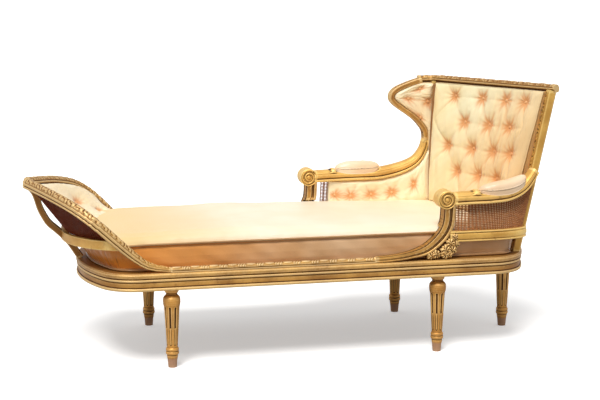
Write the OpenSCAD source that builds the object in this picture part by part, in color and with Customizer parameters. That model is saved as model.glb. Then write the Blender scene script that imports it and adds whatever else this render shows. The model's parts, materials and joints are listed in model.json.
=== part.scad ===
// Recamier: a long seat on five fluted legs, with a scooped foot end, a raised
// back turned across the head end, two arms of unequal length and one wing.
// Millimetres. +X runs from the foot end to the head end, +Z is up, the arm
// nearer the reader is on the -Y side. The origin lies on the floor.

/* [Seat frame] */
// Width over the seat rails
seat_w = 700; // [640:5:760]
// Straight length of the side rails
side_len = 1291; // [1240:1:1360]
// How far the straight rails sit towards the head end
side_shift = 62.3; // [50:0.1:75]
// Radius of the rounded rail corners
corner_r = 145; // [125:1:165]
// Radius of the bowed ends
end_r = 600; // [540:5:680]
// Height of the rails
rail_h = 63; // [55:1:72]
// Width of the rails
rail_w = 64; // [60:1:72]
// Width of the carved band on the side rails
ribbon_w = 24; // [18:1:27]
// Height of the carved band
ribbon_h = 20; // [12:1:24]
// Number of cross slats
slat_count = 9; // [5:1:12]
// Thickness of the slats
slat_t = 14; // [10:1:18]
// Width of each slat
slat_w = 70; // [50:1:90]
// Thickness of the deck panel
deck_t = 5; // [3:1:8]

/* [Legs] */
// Height from the floor to the rail
leg_h = 285; // [260:1:310]
// Widest diameter of a leg
leg_d = 62; // [54:1:70]
// Diameter of the leg at the floor
foot_d = 30; // [26:1:36]
// Distance of the near foot leg from the origin
near_foot_leg_x = 471; // [450:1:500]
// Distance of the near head leg from the origin
near_head_leg_x = 504; // [480:1:530]
// Distance of the far foot leg from the origin
far_foot_leg_x = 480; // [450:1:500]
// Distance of the far head leg from the origin
far_head_leg_x = 520; // [490:1:540]
// Inset of the side leg centres from the outer edge of the rails
leg_inset = 46; // [40:1:50]
// Inset of the end leg centre from the outer edge of the end rail
end_leg_inset = 34; // [32:1:50]
// Number of flutes on a leg
flute_count = 8; // [6:1:10]
// Diameter of a flute
flute_d = 9; // [6:0.5:11]
// Diameter of the dowel on top of a leg
dowel_d = 22; // [16:1:26]
// Length of the dowel
dowel_len = 40; // [30:1:46]

/* [Mattress] */
// Thickness of the mattress at its edge
mattress_t = 100; // [80:1:120]
// Crown of the mattress top
mattress_crown = 40; // [12:1:46]
// Gap between the outer rail edge and the mattress side
mattress_inset = 40; // [36:1:50]

/* [Foot end] */
// Distance from the origin to where the rims leave the rail
prow_x = 477.2; // [460:0.1:500]
// Length of the scooped foot end from there to the tip
prow_len = 469; // [440:1:500]
// Height of the rim tip over the rail
prow_h = 279; // [250:1:300]
// How far the near rim stands towards the foot end of the far one, half way up
rim_skew = 34; // [0:1:40]
// Distance of the rims' middle lines in from the outer face of the rails
prow_inset = 16; // [12:1:40]
// Width of a rim across its top
rim_w = 34; // [26:1:42]
// Thickness of a rim
rim_t = 37; // [30:1:46]
// Height of the low band round the foot end
foot_band_h = 34; // [26:1:40]
// Thickness of the low bands
band_t = 20; // [15:1:26]
// Thickness of the tufted foot pad
foot_pad_t = 34; // [24:1:40]

/* [Arms] */
// Length of the short arm, from the scroll centre to the back
near_arm_len = 352; // [320:2:380]
// Length of the long arm, from the scroll centre to the wing
far_arm_len = 483; // [450:1:510]
// Height of the scroll centre above the rail
scroll_h = 217; // [200:1:235]
// Radius of the scrolls
scroll_r = 34; // [28:1:40]
// Width of the arms
arm_w = 66; // [54:1:72]
// Height of the arms
arm_t = 46; // [36:1:54]
// Width of the arm posts across the sweep
post_w = 44; // [34:1:52]
// Length of the sweep of an arm post along the rail
post_sweep = 262; // [230:2:290]
// Height of the bands under the arms
band_h = 40; // [30:1:46]
// Height of the underside of those bands above the rail
band_z = 62; // [56:1:70]
// Thickness of the cane sheets
cane_t = 3; // [2:0.5:4]
// Length of an arm pad
arm_pad_len = 182; // [150:2:190]
// Height of an arm pad
arm_pad_h = 42; // [32:1:48]
// Depth to which the arm pads are let into the arms
pad_recess = 20; // [8:1:22]
// Thickness of the pads on the inside of the arms
side_pad_t = 30; // [20:1:34]

/* [Back] */
// Height of the back above the rail at the short-arm stile
back_h = 623; // [580:1:650]
// How much lower the back is at the wing stile
back_fall = 14; // [0:1:24]
// How far the short-arm stile leans back over its height
near_lean = 125; // [100:1:150]
// How far the wing stile leans forward over its height
far_lean = 40; // [20:1:60]
// Distance from the short-arm stile foot to the head end of the side rails
near_foot_x = 105; // [90:1:125]
// Distance the wing stile foot stands back towards the foot end from there
far_foot_back = 15; // [5:1:30]
// Width of the stiles
stile_w = 36; // [28:1:44]
// Depth of the stiles
stile_t = 30; // [24:1:38]
// Height of the crest rail
crest_h = 30; // [24:1:40]
// Thickness of the back cushion at its top
back_pad_top = 18; // [14:1:30]
// Thickness of the back cushion at its foot
back_pad_foot = 68; // [54:1:72]
// Thickness of the wing pad
wing_pad_t = 32; // [24:1:38]
// Length of the wing in front of the back
wing_len = 160; // [130:2:190]
// Thickness of the wing frame
wing_t = 20; // [15:1:26]
// Width of the wing frame
wing_w = 42; // [34:1:50]

/* [Hidden] */
$fn = 48;

// Colours of the photographed finishes
gilt = [0.72, 0.55, 0.33];
satin = [0.98, 0.92, 0.82];
cane_brown = [0.42, 0.2, 0.13];
bare_wood = [0.66, 0.5, 0.34];
linen = [0.85, 0.79, 0.68];

// Clearance of a soft piece from its neighbours, and of a joint or a pin
soft_gap = 0.4;
joint_gap = 0.2;

// Seat plan
half_w = seat_w / 2;
prow_half_w = half_w - prow_inset;
foot_cx = side_shift - side_len / 2;
head_cx = side_shift + side_len / 2;
corner_cy = half_w - corner_r;
bow_angle = asin(corner_cy / (end_r - corner_r));
bow_reach = (end_r - corner_r) * cos(bow_angle);
foot_bow_x = foot_cx + bow_reach;
head_bow_x = head_cx - bow_reach;
foot_end_x = foot_bow_x - end_r;
head_end_x = head_bow_x + end_r;
rail_z = leg_h;
rail_top = rail_z + rail_h;
leg_y = half_w - leg_inset;
end_leg_x = head_end_x - end_leg_inset;

// Section of the rails: share of the width from the outer face, share of the height
rail_shares = [[1, 0], [1, 1], [0.07, 1], [0.02, 0.94], [0, 0.8], [0.02, 0.66], [0.08, 0.6],
    [0.15, 0.57], [0.15, 0.52], [0.11, 0.49], [0.12, 0.2], [0.07, 0.17], [0.03, 0.12],
    [0.03, 0.05], [0.07, 0]];

// Small vector helpers
function lerp(a, b, t) = a + (b - a) * t;
function unit(v) = v / norm(v);
function flip_y(v) = [v[0], -v[1], v[2]];
function clamp01(t) = min(1, max(0, t));
function smooth01(t) = let(c = clamp01(t)) c * c * (3 - 2 * c);

// Smooth curve through control points, with n steps between neighbours
function spline_at(p, i, t) =
    let(last = len(p) - 1, a = p[max(i - 1, 0)], b = p[i], c = p[min(i + 1, last)], d = p[min(i + 2, last)])
    0.5 * (2 * b + (c - a) * t + (2 * a - 5 * b + 4 * c - d) * t * t + (3 * b - a - 3 * c + d) * t * t * t);
function spline(p, n) = [for (i = [0:len(p) - 2], k = [0:n - 1]) spline_at(p, i, k / n), p[len(p) - 1]];

// Point at share t of a list of points
function along(p, t) =
    let(x = clamp01(t) * (len(p) - 1), i = min(floor(x), len(p) - 2))
    lerp(p[i], p[i + 1], x - i);
function tangent(p, i) = unit(p[min(i + 1, len(p) - 1)] - p[max(i - 1, 0)]);
function side_at(p, i, ref) = unit(cross(tangent(p, i), ref));
// Point below a line, a distance d square to it, at share s of its length
line_step_share = 0.01;
function under(p, s, d) =
    let(t = unit(along(p, s + line_step_share) - along(p, s - line_step_share)),
        a = unit(cross(t, [0, 0, 1])))
    along(p, s) - cross(a, t) * d;

// A section of points [across, up] swept along a path, where ref is about up
function sweep_points(path, sec, ref, scales) =
    [for (i = [0:len(path) - 1])
        let(t = tangent(path, i), s = side_at(path, i, ref), u = cross(s, t),
            k = is_undef(scales) ? 1 : scales[i])
        for (q = sec) path[i] + s * q[0] * k + u * q[1] * k];
function ring_faces(n, m) =
    [for (i = [0:n - 2], j = [0:m - 1])
        let(a = i * m + j, b = i * m + (j + 1) % m, c = b + m, d = a + m)
        each [[a, b, c], [a, c, d]]];
function cap_faces(n, m) = concat([[for (j = [m - 1:-1:0]) j]], [[for (j = [0:m - 1]) (n - 1) * m + j]]);
module sweep(path, sec, ref, scales) {
    n = len(path);
    m = len(sec);
    polyhedron(sweep_points(path, sec, ref, scales),
        concat(ring_faces(n, m), cap_faces(n, m)), convexity = 4);
}

// Sections, as shares of the width across and the height
box_shares = [[-0.5, -0.5], [0.5, -0.5], [0.5, 0.5], [-0.5, 0.5]];
rail_bar_shares = [[-0.5, -0.3], [-0.36, -0.5], [0.36, -0.5], [0.5, -0.3], [0.5, 0.26], [0.4, 0.34],
    [0.3, 0.5], [-0.3, 0.5], [-0.4, 0.34], [-0.5, 0.26]];
bead_shares = [[-0.5, -0.5], [0.5, -0.5], [0.5, -0.12], [0.36, 0.3], [0, 0.5], [-0.36, 0.3],
    [-0.5, -0.12]];
function scaled(shares, w, h) = [for (q = shares) [q[0] * w, q[1] * h]];

// A slab between two equal grids of points, open nowhere
function grid_points(g) = [for (row = g) each row];
module slab(front, back) {
    n = len(front);
    m = len(front[0]);
    o = n * m;
    front_faces = [for (i = [0:n - 2], j = [0:m - 2])
        let(a = i * m + j, b = a + 1, c = a + m + 1, d = a + m) each [[a, b, c], [a, c, d]]];
    back_faces = [for (i = [0:n - 2], j = [0:m - 2])
        let(a = o + i * m + j, b = a + 1, c = a + m + 1, d = a + m) each [[a, c, b], [a, d, c]]];
    rim = concat([for (j = [0:m - 1]) j], [for (i = [1:n - 1]) i * m + m - 1],
        [for (j = [m - 2:-1:0]) (n - 1) * m + j], [for (i = [n - 2:-1:1]) i * m]);
    sides = [for (k = [0:len(rim) - 1])
        let(a = rim[k], b = rim[(k + 1) % len(rim)]) each [[a, a + o, b + o], [a, b + o, b]]];
    polyhedron(concat(grid_points(front), grid_points(back)),
        concat(front_faces, back_faces, sides), convexity = 6);
}

// A cushion: a full front grid, one bulging ring of side points, and a ring and a fan behind
module cushion(front, waist, back, inner, centre) {
    n = len(front);
    m = len(front[0]);
    o = n * m;
    r = len(waist);
    front_faces = [for (i = [0:n - 2], j = [0:m - 2])
        let(a = i * m + j, b = a + 1, c = a + m + 1, d = a + m) each [[a, c, b], [a, d, c]]];
    rim = concat([for (j = [0:m - 1]) j], [for (i = [1:n - 1]) i * m + m - 1],
        [for (j = [m - 2:-1:0]) (n - 1) * m + j], [for (i = [n - 2:-1:1]) i * m]);
    sides = [for (k = [0:r - 1]) let(l = (k + 1) % r)
        each [[rim[k], o + l, o + k], [rim[k], rim[l], o + l],
            [o + k, o + r + l, o + r + k], [o + k, o + l, o + r + l],
            [o + r + k, o + 2 * r + l, o + 2 * r + k], [o + r + k, o + r + l, o + 2 * r + l],
            [o + 2 * r + k, o + 2 * r + l, o + 3 * r]]];
    polyhedron(concat(grid_points(front), waist, back, inner, [centre]),
        concat(front_faces, sides), convexity = 6);
}
// The shares of a grid's border in the order that cushion() walks it
function border_shares(n, m) = concat([for (j = [0:m - 1]) [0, j / (m - 1)]],
    [for (i = [1:n - 1]) [i / (n - 1), 1]],
    [for (j = [m - 2:-1:0]) [1, j / (m - 1)]], [for (i = [n - 2:-1:1]) [i / (n - 1), 0]]);

// Buttoned upholstery: 0 at a button, 1 on the crown of a diamond
function puff(a, b) = pow(max(abs(sin(180 * a)) * abs(sin(180 * b)), 0), 0.45);
// Edge roll of a pad, 0 on its border and 1 inside
function edge_roll(u, v, share) =
    sqrt(1 - pow(1 - clamp01(min(min(u, 1 - u), min(v, 1 - v)) / share), 2));

// A loose button with its domed face along a direction
module button_at(p, dir, d) {
    yaw = atan2(dir[1], dir[0]);
    pitch = acos(unit(dir)[2]);
    translate(p)
        rotate([0, pitch, yaw])
            rotate_extrude($fn = 16)
                polygon(scaled(button_shares, d, d));
}
button_d = 13;
button_shares = [[0, 0], [0.5, 0], [0.44, 0.16], [0.25, 0.28], [0, 0.32]];

// Outline of the seat, drawn in from the outer face of the rails
function arc(cx, cy, r, a0, a1, n) =
    [for (k = [0:n]) let(a = lerp(a0, a1, k / n)) [cx + r * cos(a), cy + r * sin(a)]];
function foot_half_plan(inset, n) = concat(
    arc(foot_cx, corner_cy, corner_r - inset, 90, 180 - bow_angle, n),
    arc(foot_bow_x, 0, end_r - inset, 180 - bow_angle, 180 + bow_angle, n),
    arc(foot_cx, -corner_cy, corner_r - inset, 180 + bow_angle, 270, n));
function head_half_plan(inset, n) = concat(
    arc(head_cx, -corner_cy, corner_r - inset, -90, -bow_angle, n),
    arc(head_bow_x, 0, end_r - inset, -bow_angle, bow_angle, n),
    arc(head_cx, corner_cy, corner_r - inset, bow_angle, 90, n));
plan_steps = 8;

// Seat rails, dowelled together at the four joints and to the legs
rail_dowel_d = 10;
rail_dowel_len = 44;
rail_dowel_shares = [0.3, 0.72];
housing = 12;
module rail_section(base) {
    polygon([for (q = rail_shares) [base - q[0] * rail_w, rail_z + q[1] * rail_h]]);
}
module joint_dowels(grow) {
    for (x = [foot_cx, head_cx], s = [-1, 1], q = rail_dowel_shares)
        translate([x, s * (half_w - rail_w / 2), rail_z + q * rail_h])
            rotate([0, 90, 0])
                cylinder(d = rail_dowel_d + grow, h = rail_dowel_len + grow, center = true, $fn = 24);
}
leg_places = [[-near_foot_leg_x, -leg_y], [near_head_leg_x, -leg_y], [-far_foot_leg_x, leg_y],
    [far_head_leg_x, leg_y], [end_leg_x, 0]];
module leg_pins(grow) {
    for (p = leg_places)
        translate([p[0], p[1], rail_z - dowel_len / 3])
            cylinder(d = dowel_d + grow, h = dowel_len + grow);
}
function slat_x(i) = lerp(foot_cx + slat_w, head_cx - slat_w, i / (slat_count - 1));
slat_top = rail_top - deck_t;
slat_half = half_w - rail_w + housing;
module slats(grow) {
    for (i = [0:slat_count - 1])
        translate([slat_x(i) - slat_w / 2 - grow, -slat_half - grow, slat_top - slat_t - grow])
            cube([slat_w + 2 * grow, 2 * (slat_half + grow), slat_t + grow * 2]);
}
module side_rail(far) {
    difference() {
        mirror([0, far, 0])
            translate([foot_cx, 0, 0])
                rotate([90, 0, 90])
                    mirror([1, 0, 0])
                        linear_extrude(side_len) rail_section(half_w);
        joint_dowels(joint_gap);
        leg_pins(joint_gap);
        slats(joint_gap);
    }
}
module seat_rail_near() color(gilt) side_rail(0);
module seat_rail_far() color(gilt) side_rail(1);
// An end rail is three blocks, a bowed one between two corners, with a glue line at each joint
glue_angle = joint_gap / end_r * 180 / PI;
module end_rail() {
    for (s = [0, 1])
        mirror([0, s, 0])
            translate([head_cx, -corner_cy, 0])
                rotate([0, 0, -90])
                    rotate_extrude(angle = 90 - bow_angle, $fn = 96) rail_section(corner_r);
    translate([head_bow_x, 0, 0])
        rotate([0, 0, glue_angle - bow_angle])
            rotate_extrude(angle = 2 * (bow_angle - glue_angle), $fn = 192) rail_section(end_r);
}
module seat_rail_head() color(gilt)
    difference() {
        end_rail();
        joint_dowels(joint_gap);
        leg_pins(joint_gap);
    }
module seat_rail_foot() color(gilt)
    difference() {
        translate([2 * side_shift, 0, 0]) mirror([1, 0, 0]) end_rail();
        joint_dowels(joint_gap);
    }
module rail_dowels() color(bare_wood) joint_dowels(0);
module deck_slats() color(bare_wood) slats(0);
deck_gap = 1;
module deck_panel() color(linen)
    translate([0, 0, slat_top])
        linear_extrude(deck_t - joint_gap)
            polygon(concat(foot_half_plan(rail_w + deck_gap, plan_steps),
                head_half_plan(rail_w + deck_gap, plan_steps)));

// The carved band along the top of each side rail, between the foot rim and the arm post
ribbon_inset = 4;
ribbon_y = half_w - ribbon_inset - ribbon_w / 2;
module ribbon_band(x0, x1) {
    translate([x0, -ribbon_y, rail_top + ribbon_h / 2])
        rotate([90, 0, 90])
            linear_extrude(x1 - x0) polygon(scaled(bead_shares, ribbon_w, ribbon_h));
}

// Legs: a turned taper with stopped flutes
leg_r = leg_d / 2;
leg_shares = [[0.5, 0.02], [0.55, 0.09], [0.63, 0.14], [0.63, 0.16], [0.74, 0.172], [0.76, 0.196],
    [0.69, 0.207], [0.74, 0.218], [0.73, 0.242], [0.63, 0.256], [0.63, 0.274], [0.87, 0.754],
    [0.97, 0.814], [1, 0.86], [0.94, 0.891], [0.77, 0.909], [0.65, 0.923], [0.65, 0.94],
    [0.82, 0.965], [0.82, 1]];
flute_foot_share = [0.68, 0.3];
flute_stop_share = [0.775, 0.5];
flute_head_share = [0.93, 0.76];
module leg_rod(from, to, d) {
    rise = (to[1] - from[1]) * leg_h;
    out = (to[0] - from[0]) * leg_r;
    for (k = [0:flute_count - 1])
        rotate([0, 0, 360 * (k + 0.5) / flute_count])
            translate([from[0] * leg_r, 0, from[1] * leg_h])
                rotate([0, atan2(out, rise), 0])
                    cylinder(d = d, h = norm([out, rise]), $fn = 16);
}
module leg() {
    difference() {
        rotate_extrude()
            polygon(concat([[0, 0], [foot_d / 2, 0]],
                [for (q = leg_shares) [q[0] * leg_r, q[1] * leg_h]], [[0, leg_h]]));
        leg_rod(flute_foot_share, flute_head_share, flute_d);
        translate([0, 0, leg_h - dowel_len / 3])
            cylinder(d = dowel_d + joint_gap, h = dowel_len);
    }
    intersection() {
        leg_rod(flute_foot_share, flute_stop_share, flute_d * reed_share);
        cylinder(r = leg_r, h = leg_h);
    }
}
reed_share = 0.78;
module leg_at(i) color(gilt) translate([leg_places[i][0], leg_places[i][1], 0]) leg();
module leg_near_foot() leg_at(0);
module leg_near_head() leg_at(1);
module leg_far_foot() leg_at(2);
module leg_far_head() leg_at(3);
module leg_head_centre() leg_at(4);
module leg_dowels() color(bare_wood) leg_pins(0);

// The back: a panel whose two stiles lean by different amounts, so it is slightly warped.
// u runs from the short-arm stile to the wing stile, v upwards, w towards the rear.
near_foot_inset = 88;
near_splay = 38;
far_foot_inset = 32;
near_foot = [head_cx + near_foot_x, -(half_w - near_foot_inset), rail_top];
far_foot = [head_cx - far_foot_back, half_w - far_foot_inset, rail_top];
near_head = near_foot + [near_lean, -near_splay, back_h];
far_head = far_foot + [-far_lean, 0, back_h - back_fall];
function back_flat(u, v) = lerp(lerp(near_foot, near_head, v), lerp(far_foot, far_head, v), u);
function back_rear(u, v) = unit(cross(
    lerp(far_foot, far_head, v) - lerp(near_foot, near_head, v),
    lerp(near_head, far_head, u) - lerp(near_foot, far_foot, u)));
function back_pt(u, v, w) = back_flat(u, v) + w * back_rear(u, v);
back_w = norm(far_foot - near_foot);
stile_u = stile_w / back_w;
crest_v = 1 - crest_h / back_h;
function back_v(z) = (z - rail_top) / (back_h - back_fall);
stile_steps = 6;
stile_foot_share = -0.02;
module stile(u) {
    difference() {
        sweep([for (k = [0:stile_steps])
                back_pt(u, lerp(stile_foot_share, crest_v, k / stile_steps), stile_t / 2)],
            scaled(rail_bar_shares, stile_w, stile_t), [1, 0, 0]);
        translate([0, -seat_w, rail_top - seat_w]) cube([side_len, 2 * seat_w, seat_w]);
    }
}
function on_back(u0, u1, v, n) = [for (k = [0:n]) back_pt(lerp(u0, u1, k / n), v, stile_t / 2)];
module stile_near() color(gilt) stile(stile_u / 2);
module stile_far() color(gilt) stile(1 - stile_u / 2);
// The crest rail turns forwards over the wing at its far end
crest_return = 44;
crest_side_z = far_head[2] - crest_h / 2;
crest_path = concat(on_back(0, 0.95, 1 - crest_h / 2 / back_h, stile_steps),
    [[far_head[0] + stile_t / 4, far_head[1] - stile_t / 4, crest_side_z],
    [far_head[0] - stile_t / 2, far_head[1] - stile_t / 8, crest_side_z],
    [far_head[0] - crest_return, far_head[1] - stile_t / 8, crest_side_z]]);
module crest_rail() color(gilt)
    sweep(crest_path, scaled(rail_bar_shares, stile_t, crest_h - joint_gap), [0, 0, 1]);
band_mid_z = rail_top + band_z + band_h / 2;
module back_bottom_rail() color(gilt)
    sweep(on_back(stile_u, 1 - stile_u, back_v(band_mid_z), stile_steps),
        scaled(rail_bar_shares, stile_t, band_h), [0, 0, 1]);

// Cane sheet in the rear half of the back frame
cane_depth = stile_t * 0.6;
sheet_steps = 8;
module back_cane() {
    v0 = back_v(band_mid_z + band_h / 2);
    g = [for (w = [0, 1]) [for (i = [0:sheet_steps]) [for (k = [0:sheet_steps])
        back_pt(lerp(stile_u, 1 - stile_u, i / sheet_steps), lerp(v0, crest_v, k / sheet_steps),
            cane_depth + w * cane_t)]]];
    color(cane_brown) slab(g[1], g[0]);
}

// Arm paths: centre lines from the scroll to the back, in shares of the length and of the rise
arm_setback = 5;
arm_cy = half_w - arm_setback - arm_w / 2;
arm_rise = 90;
scroll_z = rail_top + scroll_h;
near_arm_end_v = back_v(scroll_z + arm_rise);
near_scroll_x = back_flat(0, near_arm_end_v)[0] - near_arm_len;
near_arm_shares = [[0, 1, 0], [0.25, 1.005, 0.03], [0.5, 1.01, 0.05], [0.7, 1, 0.14],
    [0.86, 0.965, 0.42], [0.99, 0.915, 1]];
near_arm_ctrl = [for (q = near_arm_shares)
    [near_scroll_x + q[0] * near_arm_len, -q[1] * arm_cy, scroll_z + q[2] * arm_rise]];
far_neck_back = 52;
wing_neck_x = far_foot[0] - far_neck_back;
far_scroll_x = wing_neck_x - far_arm_len;
far_arm_shares = [[0, 0], [0.19, 0.03], [0.4, 0.05], [0.6, 0.07], [0.79, 0.28], [0.91, 0.58],
    [0.976, 1.05], [1, 1.5]];
far_arm_ctrl = [for (q = far_arm_shares)
    [far_scroll_x + q[0] * far_arm_len, arm_cy, scroll_z + q[1] * arm_rise]];
arm_steps = 4;
near_arm_path = spline(near_arm_ctrl, arm_steps);
far_arm_path = spline(far_arm_ctrl, arm_steps);
arm_thin_share = 0.66;
arm_taper_share = 0.45;
function arm_scale(s, thin) = lerp(1, thin, smooth01((s - arm_taper_share) / (1 - arm_taper_share)));
module arm(path, thin) {
    sweep(path, scaled(rail_bar_shares, arm_w, arm_t), [0, 0, 1],
        [for (i = [0:len(path) - 1]) arm_scale(i / (len(path) - 1), thin)]);
}
function arm_under(path, s, thin, gap) = under(path, s, arm_t / 2 * arm_scale(s, thin) + gap);
// The first stretch of an arm, behind its scroll
function head_of(path, n) = [for (i = [0:n]) path[i]];

// Seats for the arm pads: scooped hollows in the tops of the arms
pad_steps = 14;
near_pad_start = 128;
far_pad_start = 112;
function share_at_x(path, x) = lookup(x, [for (i = [0:len(path) - 1]) [path[i][0], i / (len(path) - 1)]]);
function pad_span(path, start) =
    [share_at_x(path, path[0][0] + start), share_at_x(path, path[0][0] + start + arm_pad_len)];
near_pad_span = pad_span(near_arm_path, near_pad_start);
far_pad_span = pad_span(far_arm_path, far_pad_start);
function bow01(s, power) = pow(max(1 - pow(abs(2 * s - 1), power), 0), 0.5);
function pad_at(path, span, s, across, up) =
    let(k = lerp(span[0], span[1], s), p = along(path, k), q = along(path, k + 1 / len(path)),
        t = unit([q[0] - p[0], q[1] - p[1], 0]))
    p + [-t[1], t[0], 0] * across + [0, 0, arm_t / 2 + up];
function pad_floor(s) = -pad_recess * bow01(s, 2);
module pad_seat(path, span) {
    slab([for (i = [0:pad_steps]) [for (c = [-1, 1]) pad_at(path, span, i / pad_steps, c * arm_w, arm_t)]],
        [for (i = [0:pad_steps]) let(s = i / pad_steps)
            [for (c = [-1, 1]) pad_at(path, span, s, c * arm_w, pad_floor(s))]]);
}

// Scrolls: a rolled strip round a button, on a slightly narrower drum
strip_t = 7;
volute_turns = 1.55;
volute_core_share = 0.3;
volute_relief = 4;
volute_steps = 40;
volute_start = 55;
module volute(p) {
    strip = [for (k = [0:volute_steps])
        let(t = k / volute_steps, a = volute_start + 360 * volute_turns * t,
            r = lerp(scroll_r - strip_t / 2, scroll_r * volute_core_share, t))
        p + [r * cos(a), 0, r * sin(a)]];
    sweep(strip, scaled(box_shares, strip_t, arm_w), [0, 1, 0]);
    translate(p)
        rotate([90, 0, 0]) {
            cylinder(r = scroll_r, h = arm_w - 2 * volute_relief, center = true);
            cylinder(r = scroll_r * volute_core_share, h = arm_w + volute_relief / 2, center = true);
        }
}
near_scroll = [near_scroll_x, -arm_cy, scroll_z];
far_scroll = [far_scroll_x, arm_cy, scroll_z];
module scroll_room(p)
    translate(p) rotate([90, 0, 0]) cylinder(r = scroll_r + joint_gap, h = 2 * arm_w, center = true);
module volute_near() color(gilt) volute(near_scroll);
module volute_far() color(gilt) volute(far_scroll);
module arm_near() color(gilt)
    difference() {
        arm(near_arm_path, arm_thin_share);
        scroll_room(near_scroll);
        stile(stile_u / 2);
        pad_seat(near_arm_path, near_pad_span);
    }
module arm_far() color(gilt)
    difference() {
        arm(far_arm_path, wing_w / arm_w);
        scroll_room(far_scroll);
        pad_seat(far_arm_path, far_pad_span);
    }

// Arm posts: sweep from under the scroll down to the carved band
post_shares = [[0.05, 1], [0.03, 0.694], [-0.07, 0.448], [-0.27, 0.22], [-0.5, 0.125],
    [-0.76, 0.075], [-1, 0.06]];
post_scale_shares = [1, 1, 0.95, 0.8, 0.58, 0.48, 0.45];
post_y_shares = [0, 0, 0.2, 0.6, 0.9, 1, 1];
post_depth_share = 0.82;
post_steps = 3;
module arm_post(x) {
    rise = scroll_h - scroll_r;
    last = (len(post_shares) - 1) * post_steps;
    ctrl = [for (i = [0:len(post_shares) - 1])
        let(q = post_shares[i])
        [x + q[0] * post_sweep, -lerp(arm_cy, ribbon_y, post_y_shares[i]), rail_top + q[1] * rise]];
    sweep(spline(ctrl, post_steps), scaled(rail_bar_shares, post_w, arm_w * post_depth_share), [0, 1, 0],
        [for (k = [0:last]) along(post_scale_shares, k / last)]);
}
module post_cut(x) {
    difference() {
        arm_post(x);
        translate([x - 2 * post_sweep, -seat_w, rail_top - seat_w])
            cube([4 * post_sweep, seat_w, seat_w]);
        scroll_room([x, -arm_cy, scroll_z]);
        mattress_room(x);
        children();
    }
}
// The rebate in the inner side of a post that the mattress and its pad stand in
module mattress_room(x) {
    translate([x - 2 * post_sweep, -mattress_y - soft_gap, 0])
        cube([4 * post_sweep, mattress_y, pad_foot_z(x)]);
}
arm_head_n = 3;
module arm_post_near() color(gilt) post_cut(near_scroll_x) arm(head_of(near_arm_path, arm_head_n), 1);
module arm_post_far() color(gilt)
    mirror([0, 1, 0]) post_cut(far_scroll_x) mirror([0, 1, 0]) arm(head_of(far_arm_path, arm_head_n), 1);
post_end_gap = 0.3;
module ribbon_band_near() color(gilt) ribbon_band(-prow_x, near_scroll_x - post_sweep - post_end_gap);
module ribbon_band_far() color(gilt)
    mirror([0, 1, 0]) ribbon_band(-prow_x, far_scroll_x - post_sweep - post_end_gap);

// Carved leaf brackets in the crook between post and rail: lobes [x, z, radius] in post sweeps
lobe_shares = [[-0.2, 0.04, 0.05], [-0.1, 0.06, 0.065], [0.02, 0.1, 0.07], [0.1, 0.17, 0.06],
    [0.12, 0.27, 0.045], [-0.02, 0.2, 0.06]];
bracket_t = 26;
module bracket(x) {
    difference() {
        translate([0, -ribbon_y + bracket_t / 2, rail_top])
            rotate([90, 0, 0])
                linear_extrude(bracket_t)
                    for (q = lobe_shares)
                        translate([x + q[0] * post_sweep, q[1] * post_sweep])
                            circle(q[2] * post_sweep, $fn = 20);
        arm_post(x);
        translate([x - post_sweep, -seat_w, rail_top - seat_w])
            cube([2 * post_sweep, seat_w, seat_w]);
        children();
    }
}
module acanthus_near() color(gilt)
    bracket(near_scroll_x) sweep(head_of(near_band_path, 2), band_section, [0, 0, 1]);
module acanthus_far() color(gilt)
    mirror([0, 1, 0]) bracket(far_scroll_x) sweep(far_band_flat, band_section, [0, 0, 1]);

// Low bands under the arms. The near one turns round the stile to the rear of the back.
band_section = scaled(rail_bar_shares, band_t, band_h);
band_setback = 7;
band_cy = half_w - band_setback - band_t / 2;
band_turn_shares = [[0, 1], [0.4, 1], [0.66, 0.985], [0.83, 0.95], [0.93, 0.9], [0.98, 0.84],
    [0.99, 0.78]];
near_band_x0 = near_scroll_x + scroll_r;
near_band_x1 = back_flat(0, back_v(band_mid_z))[0] + stile_t * 0.6;
near_band_ctrl = [for (q = band_turn_shares)
    [lerp(near_band_x0, near_band_x1, q[0]), -q[1] * band_cy, band_mid_z]];
near_band_path = spline(near_band_ctrl, 3);
far_band_flat = [[far_scroll_x + scroll_r, -band_cy, band_mid_z],
    [back_flat(1, back_v(band_mid_z))[0] - joint_gap, -band_cy, band_mid_z]];
// The space inside the stile's outer face, where the near band ends
stile_room = [-0.15, 0.4];
stile_room_u = 0.2;
module inside_near_stile() {
    g = [for (w = [-stile_t, 2 * stile_t]) [for (u = [0, stile_room_u]) [for (v = stile_room) back_pt(u, v, w)]]];
    slab(g[1], g[0]);
}
module arm_band_near() color(gilt)
    difference() {
        sweep(near_band_path, band_section, [0, 0, 1]);
        inside_near_stile();
    }
module arm_band_far() color(gilt)
    difference() {
        mirror([0, 1, 0]) sweep(far_band_flat, band_section, [0, 0, 1]);
        stile(1 - stile_u / 2);
    }

// Cane sheets between the bands and the arms
cane_steps = 14;
function near_cane_low(t) = along(near_band_path, t * cane_low_share) + [0, 0, band_h / 2];
function near_cane_high(t) = arm_under(near_arm_path, lerp(0.1, 0.97, t), arm_thin_share, joint_gap);
cane_low_share = 0.66;
function yaw_off(p, q, d) = let(t = unit([q[0] - p[0], q[1] - p[1], 0])) p + d * [-t[1], t[0], 0];
near_look_share = 0.05;
function near_sheet(t, v) = lerp(near_cane_low(t), near_cane_high(t), v);
function near_inner(t, v, d) =
    let(a = near_sheet(t, v),
        b = t < 1 ? near_sheet(min(t + near_look_share, 1), v) : 2 * a - near_sheet(1 - near_look_share, v))
    yaw_off(a, b, d);
function far_high(t) = arm_under(far_arm_path, lerp(0.09, 0.985, t), wing_w / arm_w, joint_gap);
function far_inner(t, v, d) =
    let(high = far_high(t), low = [high[0], band_cy, band_mid_z + band_h / 2 + joint_gap])
    lerp(low, [high[0], arm_cy, high[2]], v) - [0, d, 0];
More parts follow.
